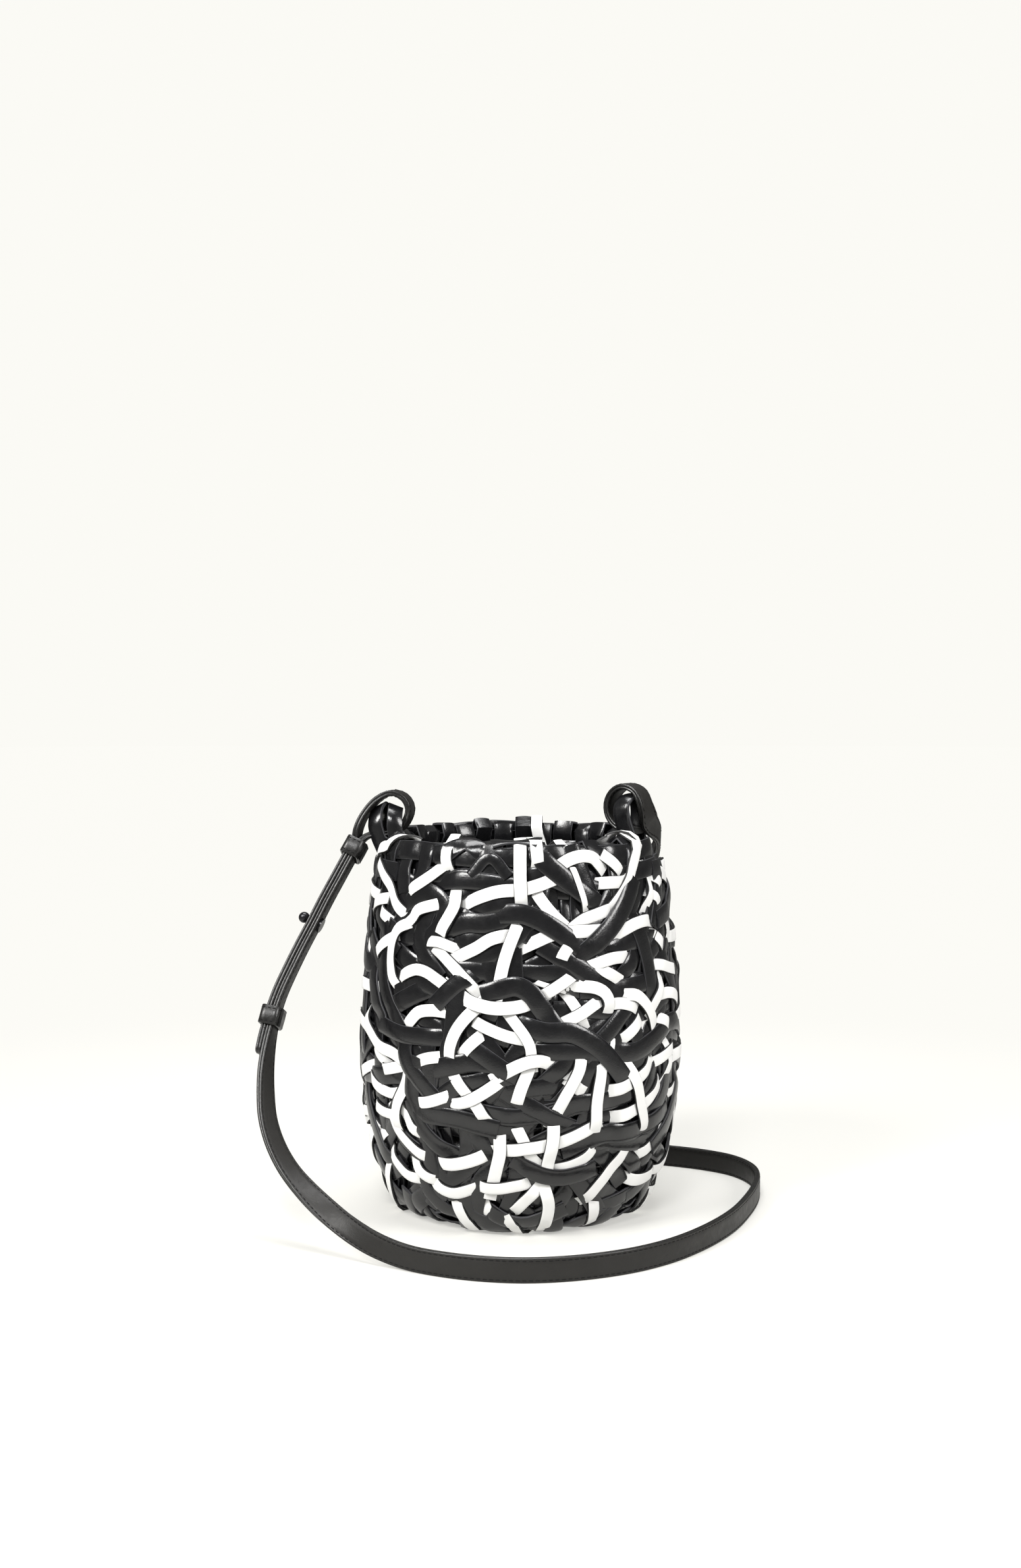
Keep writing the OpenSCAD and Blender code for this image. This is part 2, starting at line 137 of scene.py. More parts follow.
def directions(line, side):
    """Along a line, across it and out of its face, at each of its points."""
    along = unit(np.gradient(line, axis=0))
    side = square(side, along)
    return along, side, np.cross(along, side)


def carry(section, at, side, face):
    """A ring for each point: the section [x, y], with x along side and y along face."""
    return at[:, None] + section[None, :, 0:1] * side[:, None] + section[None, :, 1:2] * face[:, None]


class Builder:
    """Collects swept bands and makes one mesh of them."""

    def __init__(self):
        self.points, self.faces, self.kinds, self.count = [], [], [], 0

    def sweep(self, at, side, section, edge=(), closed=False):
        """A section [x, y] carried along points; x runs along side, and y out of the band's face.
        The section's edges listed in `edge` take the second material."""
        at, side, section = np.asarray(at, float), unit(side), np.asarray(section, float)
        if closed:
            along = unit(np.roll(at, -1, 0) - np.roll(at, 1, 0))
            side = square(side, along)
            face = np.cross(along, side)
        else:
            along, side, face = directions(at, side)
        self.add_rings(carry(section, at, side, face), edge, closed)

    def add_rings(self, rings, edge=(), closed=False):
        """Faces between each ring and the next, and a cap at each end if it isn't closed."""
        n, k = rings.shape[:2]
        self.points.append(rings.reshape(-1, 3))
        i = np.arange(n if closed else n - 1)[:, None]
        j = np.arange(k)[None, :]
        a = self.count + (i * k + j)
        b = self.count + (i * k + (j + 1) % k)
        c = self.count + ((i + 1) % n * k + (j + 1) % k)
        d = self.count + ((i + 1) % n * k + j)
        quads = np.stack([a, b, c, d], -1).reshape(-1, 4)
        self.faces.extend(quads.tolist())
        kind = np.zeros((len(i), k), int)
        if len(edge):
            kind[:, list(edge)] = 1
        self.kinds.extend(kind.reshape(-1).tolist())
        if not closed:
            first = [self.count + q for q in range(k)][::-1]
            last = [self.count + (n - 1) * k + q for q in range(k)]
            self.faces += [first, last]
            self.kinds += [1, 1]
        self.count += n * k

    def add(self, points, faces, kind=0):
        self.points.append(np.asarray(points, float))
        self.faces += [[self.count + q for q in f] for f in faces]
        self.kinds += [kind] * len(faces)
        self.count += len(points)

    def make(self, name, materials, body="bag", smooth=50):
        mesh = bpy.data.meshes.new(name)
        mesh.from_pydata((np.concatenate(self.points) * MM).tolist(), [], self.faces)
        for m in materials:
            mesh.materials.append(m)
        if len(materials) > 1:
            mesh.polygons.foreach_set("material_index", self.kinds)
        mesh.polygons.foreach_set("use_smooth", [True] * len(self.faces))
        mesh.set_sharp_from_angle(angle=math.radians(smooth))
        mesh.validate()
        mesh.update()
        o = bpy.data.objects.new(name, mesh)
        bpy.context.scene.collection.objects.link(o)
        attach(o, body)
        return o


def strip_section(w, t, crown=0.12):
    """A leather strip cut from a hide: a slightly crowned face, rounded edges and a flat back."""
    x, y, b = w / 2, t / 2, min(0.2, t / 5)
    return [
        (x - b, y), (w * 0.3, y + crown * 0.7), (w * 0.1, y + crown),
        (-w * 0.1, y + crown), (-w * 0.3, y + crown * 0.7), (b - x, y),
        (-x, y - b), (-x, b - y), (b - x, -y), (x - b, -y), (x, b - y), (x, y - b),
    ]


STRIP_EDGE = (5, 6, 7, 9, 10, 11)    # the sides of that section that are cut edges


def curve(points, steps):
    """Catmull-Rom curve through points, with `steps` steps between each two."""
    p = np.asarray(points, float)
    n, t = len(p), np.arange(steps)[:, None] / steps
    out = []
    for i in range(n - 1):
        a, b, c, d = p[max(i - 1, 0)], p[i], p[i + 1], p[min(i + 2, n - 1)]
        squares, cubes = (2 * a - 5 * b + 4 * c - d) * t**2, (3 * b - a - 3 * c + d) * t**3
        out.append(0.5 * (2 * b + (c - a) * t + squares + cubes))
    return np.concatenate(out + [p[-1:]])


def even(points, step, *along):
    """The line resampled every `step`, with any values that go along it."""
    p = np.asarray(points, float)
    s = np.concatenate([[0], np.cumsum(np.linalg.norm(np.diff(p, axis=0), axis=1))])
    q = np.linspace(0, s[-1], max(3, int(round(s[-1] / step)) + 1))
    return [np.stack([np.interp(q, s, c) for c in np.asarray(v).T], 1) for v in (p, *along)]


def stitch(b, at, along, side, out, length=2.3, wide=0.55, high=0.28):
    """One sewn stitch lying on a face at a point."""
    shape = [(-1, 0, 0), (-0.7, 0.8, 0.4), (-0.7, 0, 1), (-0.7, -0.8, 0.4), (0.7, 0.8, 0.4),
             (0.7, 0, 1), (0.7, -0.8, 0.4), (1, 0, 0), (-0.7, 0.8, -0.6), (-0.7, -0.8, -0.6),
             (0.7, 0.8, -0.6), (0.7, -0.8, -0.6)]
    pts = [at + along * (x * length / 2) + side * (y * wide / 2) + out * (z * high) for x, y, z in shape]
    b.add(pts, [[0, 1, 2], [0, 2, 3], [1, 4, 5, 2], [2, 5, 6, 3], [4, 7, 5], [5, 7, 6], [0, 8, 1],
                [8, 10, 4, 1], [0, 3, 9], [3, 6, 11, 9], [7, 4, 10], [6, 7, 11], [0, 9, 8],
                [8, 9, 11, 10], [7, 10, 11]])


# ---- strap ----

# The strap from the left loops down to the floor, round the front and up behind to the right
# loop: points on its middle line, after the way its width runs at them, as in the CAD model
STRAP_ROUTE = [
    ((0.05, 1, 0), [(-70, 0.3, 202.8), (-76.5, -0.6, 202)]),
    ((0.1, 1, 0), [(-82, -2.4, 201.2)]),
    ((0.2, 1, 0), [(-86, -5.2, 198.2), (-88.7, -7.2, 193.4), (-91.4, -8.9, 188.5), (-96.8, -11.5, 178.5),
        (-103, -14, 167), (-109, -17, 155), (-115.5, -20.5, 142.5), (-121.5, -24.5, 130),
        (-126.5, -28.5, 118.5)]),
    ((0.2, 1, 0.1), [(-130, -32.5, 107)]),
    ((0.3, 1, 0.1), [(-132.3, -37.5, 95)]),
    ((0.4, 1, 0.2), [(-133.3, -43.5, 83)]),
    ((0.4, 1, 0.3), [(-132.8, -50, 71)]),
    ((0.4, 1, 0.25), [(-130.8, -57.5, 59)]),
    ((0.4, 1, 0.3), [(-126, -65, 47.5)]),
    ((0.35, 0.95, 0.35), [(-118.5, -73, 37)]),
    ((0.3, 0.85, 0.5), [(-108.5, -81.5, 28)]),
    ((0.2, 0.65, 0.7), [(-97, -90.5, 20)]),
    ((0.15, 0.4, 0.9), [(-84.5, -100.5, 13.5)]),
    ((0.05, 0.2, 1), [(-71, -111.5, 9)]),
    ((0, 0, 1), [(-55, -122.5, 6.4), (-37.5, -132, 6), (-19, -138.5, 6), (0, -141, 6), (19, -139, 6),
        (38, -133, 6), (57, -123, 6), (76, -107, 6), (94, -84.5, 6), (109, -59, 6), (120, -32, 6),
        (128, -6, 6), (132, 17, 6), (130.5, 36, 6), (122.5, 53, 6), (109, 65, 6), (92, 74, 6),
        (71, 82, 6), (48, 90, 6.2), (25, 99, 9)]),
    ((0.1, 0.1, 1), [(5, 107, 17)]),
    ((0.3, 0.3, 0.9), [(-9, 112.5, 31)]),
    ((0.4, 0.7, 0.5), [(-15, 115, 50)]),
    ((0.4, 0.9, 0.1), [(-13, 115, 72)]),
    ((0.3, 1, 0), [(-3, 112, 94)]),
    ((0.2, 1, 0), [(11, 107, 114), (27, 98, 132)]),
    ((0.1, 1, 0.2), [(43, 85, 149)]),
    ((0, 0.9, 0.4), [(58, 69, 164)]),
    ((0, 0.7, 0.7), [(69, 51, 177)]),
    ((0, 0.6, 0.8), [(75, 34, 188)]),
    ((0.1, 0.6, 0.8), [(76.4, 20, 198)]),
    ((0.2, 0.7, 0.7), [(74, 10, 203.8)]),
    ((0.5, 0.8, 0.4), [(71, 1, 207)]),
    ((0.6, 0.8, 0), [(68.8, -6.3, 210.8)]),
]
LEFT_FOLD = [
    [-87.6, -4.9, 205.5], [-84.4, -3.6, 212.5], [-78.4, -1.7, 220], [-70.5, 0.3, 224.2],
    [-63.3, 1.2, 222], [-60, 1.4, 216], [-61.6, 1.2, 209.5], [-65.2, 0.8, 204.8],
]
RIGHT_FOLD = [
    [67.2, -9.6, 217.5], [64, -7.6, 225.4], [57.6, -2.8, 228.2], [52.3, 1, 225.2],
    [49.5, 3, 219], [50.2, 2.5, 212], [54, -0.2, 206.7], [60, -4.3, 204.6], [64.2, -6.9, 204.2],
]
# Rows where the doubled strap starts, where its loose end can lift and where it ends, and the
# rows of the two keepers
TAIL_TOP, TIP_TOP, TAIL_END, KEEPERS = 3, 12.5, 13.5, (4, 12)
STRAP_W, STRAP_T = 12.0, 3.0
LAP = 3.2      # from the strap's middle to the middle of the tail that lies on it
STEPS = 8      # points on the curve from row to row

rows = curve([p for _, run in STRAP_ROUTE for p in run], STEPS)
row_sides = curve([way for way, run in STRAP_ROUTE for _ in run], STEPS)
row_along, row_sides, row_faces = directions(rows, row_sides)
tail_line = rows - LAP * row_faces
tail_first, tip_first, tail_last = (int(row * STEPS) for row in (TAIL_TOP, TIP_TOP, TAIL_END))


def strap_section(w=STRAP_W, t=STRAP_T):
    """Two layers of leather sewn face to face: crowned faces, a sewing channel along each
    edge, painted edges and a seam between the layers."""
    x, y = w / 2, t / 2
    half = [(x - 0.35, y), (x - 0.05, y - 0.3), (x, y - 0.75), (x - 0.1, 0.12), (x - 0.22, 0.0)]
    face = [(x - 1.0, y), (x - 1.35, y - 0.14), (x - 1.7, y), (x - 3.4, y + 0.07), (0, y + 0.1)]
    top = face[::-1] + half
    right = top + [(q[0], -q[1]) for q in top[-2::-1]]
    return right[:-1] + [(-q[0], -q[1]) for q in right[:-1]]


section = strap_section()


def edge_sides(section, beyond):
    """The sides of a section that lie further out than `beyond`: its painted edges."""
    pairs = zip(section, section[1:] + section[:1])
    return [i for i, (a, b) in enumerate(pairs) if min(abs(a[0]), abs(b[0])) > beyond]


strap_edge = edge_sides(section, STRAP_W / 2 - 0.4)

# One continuous strap: from its stitched end at the right loop, round the floor, over the left
# loops and down beside itself
left_fold = curve([tail_line[tail_first]] + LEFT_FOLD + [rows[0]], STEPS)
right_fold = curve([rows[-1]] + RIGHT_FOLD, STEPS)
tail = slice(tail_first + 1, tip_first + 1)
whole = np.concatenate([right_fold[::-1], rows[::-1][1:], left_fold[::-1][1:], tail_line[tail]])
whole_side = np.concatenate([
    np.tile([0.58, 0.81, 0], (len(right_fold), 1)), row_sides[::-1][1:],
    np.tile([0.2, 1, 0], (len(left_fold) - 1, 1)), row_sides[tail],
])


def ease(v, times, keep):
    """Evens out values along a line, each by its two neighbours. Its ends stay."""
    for _ in range(times):
        v[1:-1] = (v[:-2] + keep * v[1:-1] + v[2:]) / (keep + 2)


ease(whole_side, 30, 2)
ease(whole, 3, 6)
whole, whole_side = even(whole, 2.4, whole_side)
strap_builder = Builder()
strap_builder.sweep(whole, whole_side, section, strap_edge)
strap = strap_builder.make("strap", [STRAP, STRAP_EDGE])

# The loose end starts a hair's breadth below the rest of the tail, and its corners are rounded
tip = tail_line[tip_first : tail_last + 1].copy()
tip_side = row_sides[tip_first : tail_last + 1]
tip[0] += 0.3 * unit(tip[1] - tip[0])
tip, tip_side = even(tip, 0.8, tip_side)
_, tip_side, tip_face = directions(tip, tip_side)
CORNER = 3.0
left_over = np.linalg.norm(tip - tip[-1], axis=1)
rounding = np.sqrt(np.clip(1 - (1 - left_over / CORNER) ** 2, 0, 1)) * 0.35 + 0.65
narrow = np.where(left_over < CORNER, rounding, 1.0)
tip_rings = (tip[:, None] + np.asarray(section)[None, :, 0:1] * narrow[:, None, None] * tip_side[:, None]
             + np.asarray(section)[None, :, 1:2] * tip_face[:, None])
tip_builder = Builder()
tip_builder.add_rings(tip_rings, strap_edge)
strap_tip = tip_builder.make("strap_tail_end", [STRAP, STRAP_EDGE], "tail_tip")


def stitch_lines(name, line, side, offset, face_y, body, pitch=3.1):
    """Rows of stitches along a band, on its two faces, at each offset from its middle."""
    b = Builder()
    at, sd = even(line, pitch, side)
    al, sd, fc = directions(at, sd)
    for i in range(1, len(at) - 1):
        for x in offset:
            for s in (1, -1):
                stitch(b, at[i] + sd[i] * x + fc[i] * (face_y * s), al[i], sd[i], fc[i] * s)
    return b.make(name, [THREAD], body)


strap_stitches = stitch_lines("strap_stitches", whole, whole_side, (4.65, -4.65), 1.38, "bag")
tip_stitches = stitch_lines("strap_tail_end_stitches", tip, tip_side, (4.4, -4.4), 1.38, "tail_tip", 3.0)


def on_strap(row):
    """Frame on the doubled strap: a point, across it, out of the tail and up the strap."""
    i = int(row * STEPS)
    return rows[i] - LAP / 2 * row_faces[i], row_sides[i], -row_faces[i], -row_along[i]


def keeper(name, row, body):
    """A leather band wrapped round the doubled strap, its ends sewn together at the back."""
    p, x, y, z = on_strap(row)
    hx, hy = 7.3, 4.55              # half the band's width and depth, to the middle of its leather
    bend, t, h = 1.8, 1.4, 10.0     # radius at its corners, its thickness and its height
    line = []
    for start, (cx, cy) in zip((-90, 0, 90, 180), ((hx, -hy), (hx, hy), (-hx, hy), (-hx, -hy))):
        ox, oy = math.copysign(hx - bend, cx), math.copysign(hy - bend, cy)
        for a in np.radians(np.linspace(start, start + 90, 7)):
            line.append((ox + bend * math.cos(a), oy + bend * math.sin(a)))
    line = np.array(line + line[:1])
    line = even(line, 0.9)[0][:-1]
    at = p + line[:, 0:1] * x + line[:, 1:2] * y
    b = Builder()
    # half its outer face, from the edge in: the edge, the sewing channel and the crown
    channel = h / 2 - 1.55
    sec = [(h / 2 - 0.3, t / 2), (channel + 0.25, t / 2), (channel, t / 2 - 0.12),
           (channel - 0.25, t / 2), (0, t / 2 + 0.1)]
    sec += [(-a, c) for a, c in sec[-2::-1]]
    sec += [(-h / 2, t / 2 - 0.3), (-h / 2, 0.3 - t / 2), (0.3 - h / 2, -t / 2),
            (h / 2 - 0.3, -t / 2), (h / 2, 0.3 - t / 2), (h / 2, t / 2 - 0.3)]
    sec = [(-a, -c) for a, c in sec]
    b.sweep(at, np.tile(z, (len(at), 1)), sec, edge_sides(sec, h / 2 - 0.35), closed=True)
    # the overlapping end of the band, sewn down on the back
    flap = np.array([(-hx + 2.4 + s, -hy - t * 0.9) for s in np.linspace(0, 2 * hx - 6.0, 9)])
    flap[0, 1] += 0.5
    flap[-1, 1] += 0.2
    flap_sec = [(-a * 0.97, -c * 0.7) for a, c in sec][::-1]
    b.sweep(p + flap[:, 0:1] * x + flap[:, 1:2] * y, np.tile(z, (len(flap), 1)), flap_sec)
    o = b.make(name, [KEEPER, STRAP_EDGE], body)
    s = Builder()
    along = unit(np.roll(at, -1, 0) - np.roll(at, 1, 0))
    out = unit(np.cross(z, along))
    if (out[0] * (at[0] - p)).sum() < 0:
        out = -out
    for i in range(0, len(at) - 1, 3):
        for side in (1, -1):
            place = at[i] + z * (side * channel) + out[i] * (t / 2 - 0.1)
            stitch(s, place, along[i], np.array(z), out[i], 1.9)
    so = s.make(name + "_stitching", [THREAD], body)
    return o, so


upper = keeper("upper_keeper_band", KEEPERS[0], "upper_keeper")
lower = keeper("lower_keeper_band", KEEPERS[1], "lower_keeper")
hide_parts("strap_main", "strap_left_fold", "strap_tail", "strap_right_fold")
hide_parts("strap_tail_tip")
for made, node in ((upper, "upper_keeper"), (lower, "lower_keeper")):
    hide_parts(node)
    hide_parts(node + "_stitches")
for name in ("stud_head", "stud_post", "stud_back"):
    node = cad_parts[name]
    for s in node.material_slots:
        s.material = METAL

# ---- the wall's surface ----

DEPTH = 8.5        # from the outline to the inner face of the weave
THICK = 1.15       # a strip's thickness
BACK_RISE = 3.0    # how much higher the rim stands at the back
WALL_TOP = 197.0   # where the wall ends and the bend over the rim starts
SPACE = 1.25       # from a strip to the one that lies on it
LOW = 6.0          # height where the wall ends and the foot starts
UNROLL_R = 84      # the wall is laid out flat as on a cylinder of this radius
SPREAD_R = 82      # and for the room between loose strips, as on one of this radius


def wall_r(z):
    """The bag's radius at a height, to the outline of the weave."""
    z = np.maximum(z, 0)
    low = BASE_R + (BELLY_R - BASE_R) * (1 - (1 - np.minimum(z, BELLY_Z) / BELLY_Z) ** 1.75) ** 0.5
    high = BELLY_R - (BELLY_R - RIM_R) * (np.maximum(z - BELLY_Z, 0) / (RIM_H - BELLY_Z)) ** 1.5
    return np.where(z < BELLY_Z, low, high)


def core_line():
    """The weave's inner face as a line [r, z]: out across the foot, up the wall, over the rim
    and down inside, with the way it faces and the length along it, which is 0 at height LOW. The
    wall's own heights and lengths come last."""
    z = np.arange(LOW, WALL_TOP + 0.1, 0.5)
    slope = wall_r(z + 0.5) - wall_r(z - 0.5)
    n = unit(np.stack([np.ones_like(z), -slope], 1))
    wall = np.stack([wall_r(z), z], 1) - DEPTH * n
    foot = curve([(36, 6.6), (44, 6.5), (52, 6.5), (57.5, 6.9), (61.5, 8), wall[0]], 8)[:-1]
    d = unit(np.gradient(np.concatenate([foot, wall[:1]]), axis=0))[:-1]
    foot_n = np.stack([d[:, 1], -d[:, 0]], 1)
    top, bend = wall[-1], 1.6
    turn = np.radians(np.arange(8, 181, 8))
    rim_n = np.stack([np.cos(turn), np.sin(turn)], 1)
    rim = top - [bend, 0] + bend * rim_n
    zi = np.arange(top[1] - 0.5, 150, -1.0)
    inside = np.stack([rim[-1][0] + wall_r(zi) - wall_r(top[1]), zi], 1)
    inside_n = np.tile([-1.0, 0.0], (len(zi), 1))
    p = np.concatenate([foot, wall, rim, inside])
    n = np.concatenate([foot_n, n, rim_n, inside_n])
    a = np.concatenate([[0], np.cumsum(np.linalg.norm(np.diff(p, axis=0), axis=1))])
    a -= a[len(foot)]
    return p, unit(n), a, z, a[len(foot) : len(foot) + len(z)]


core_p, core_n, core_a, wall_z, wall_a = core_line()
A_TOP = float(wall_a[-1])


def along_wall(z):
    """Length along the core at an outside height z. Above WALL_TOP it goes on over the rim."""
    z = np.asarray(z, float)
    upper = np.where(z > WALL_TOP, A_TOP + z - WALL_TOP, np.interp(z, wall_z, wall_a))
    return np.where(z < LOW, (z - LOW) * 1.3, upper)


def on_core(theta, a):
    """Points on the core and the way it faces there."""
    r, z = np.interp(a, core_a, core_p[:, 0]), np.interp(a, core_a, core_p[:, 1])
    nr, nz = np.interp(a, core_a, core_n[:, 0]), np.interp(a, core_a, core_n[:, 1])
    s, c = np.sin(theta), np.cos(theta)
    z = z + BACK_RISE * np.clip((z - 150) / 47, 0, 1) ** 2 * (1 - c) / 2
    return np.stack([r * s, -r * c, z], 1), unit(np.stack([nr * s, -nr * c, nz], 1))


# ---- the strips ----

STAKE, RING, FILL, BLACK_TOP, WHITE_TOP, TAB, RIM_RING = range(7)
STRIP_STEP = 2.1   # from point to point along a strip
rng = np.random.default_rng(7)
strips = []


def in_gate(theta, a):
    """The gaps in the rim that the strap's ends pass through."""
    d = np.degrees(theta)
    d = (d + 180) % 360 - 180
    return (a > along_wall(195.5)) & (((d > -98) & (d < -82)) | ((d > 76) & (d < 109)))


def lay(route, kind, w, rank, dive=(9, 9), white=False, index=0, closed=False):
    """Adds a strip that follows a route: angle in degrees, height, angle, height and so on. It
    runs on by `dive` mm at each end, where it tucks under its neighbours. A higher rank lies on
    top. Stakes, rings and tabs take turns by their index, and the other indices are labels."""
    q = np.reshape(route, (-1, 2)).astype(float)
    u = np.stack([np.radians(q[:, 0]) * UNROLL_R, along_wall(q[:, 1])], 1)
    if len(u) > 2 and not closed:
        u = curve(u, 6)
    if not closed:
        if dive[0]:
            u = np.concatenate([[u[0] + unit(u[0] - u[1]) * dive[0]], u])
        if dive[1]:
            u = np.concatenate([u, [u[-1] + unit(u[-1] - u[-2]) * dive[1]]])
    u = even(u, STRIP_STEP)[0]
    theta, a = u[:, 0] / UNROLL_R, u[:, 1]
    if closed:
        theta, a = theta[:-1], a[:-1]
    else:
        keep = ~in_gate(theta, a) & (a > core_a[0] + 2)
        if not keep.all():
            runs = np.split(np.arange(len(keep)), np.where(np.diff(keep.astype(int)))[0] + 1)
            runs = [r for r in runs if keep[r[0]]]
            if not runs:
                return
            r = max(runs, key=len)
            theta, a = theta[r], a[r]
    if len(theta) < 5:
        return
    strips.append(dict(theta=theta, a=a, kind=kind, w=w, rank=rank, dive=dive, white=white,
                       index=index, closed=closed))


STAKES = 36
for i in range(STAKES):
    wob, at = 1.3 * math.sin(i * 2.4), i * 360 / STAKES
    lay([at + wob, -12, at - wob, 20, at + wob, 60, at - wob, 110, at + wob, 155, at, 197],
        STAKE, 9.6, 0, (0, 0), index=i)
for i, z in enumerate(np.linspace(8, 180, 12)):
    ring = [(t, z + 1.6 * math.sin(math.radians(t * 5 + i * 77))) for t in np.linspace(0, 360, 121)]
    lay(ring, RING, 9.0, 0, index=i, closed=True)

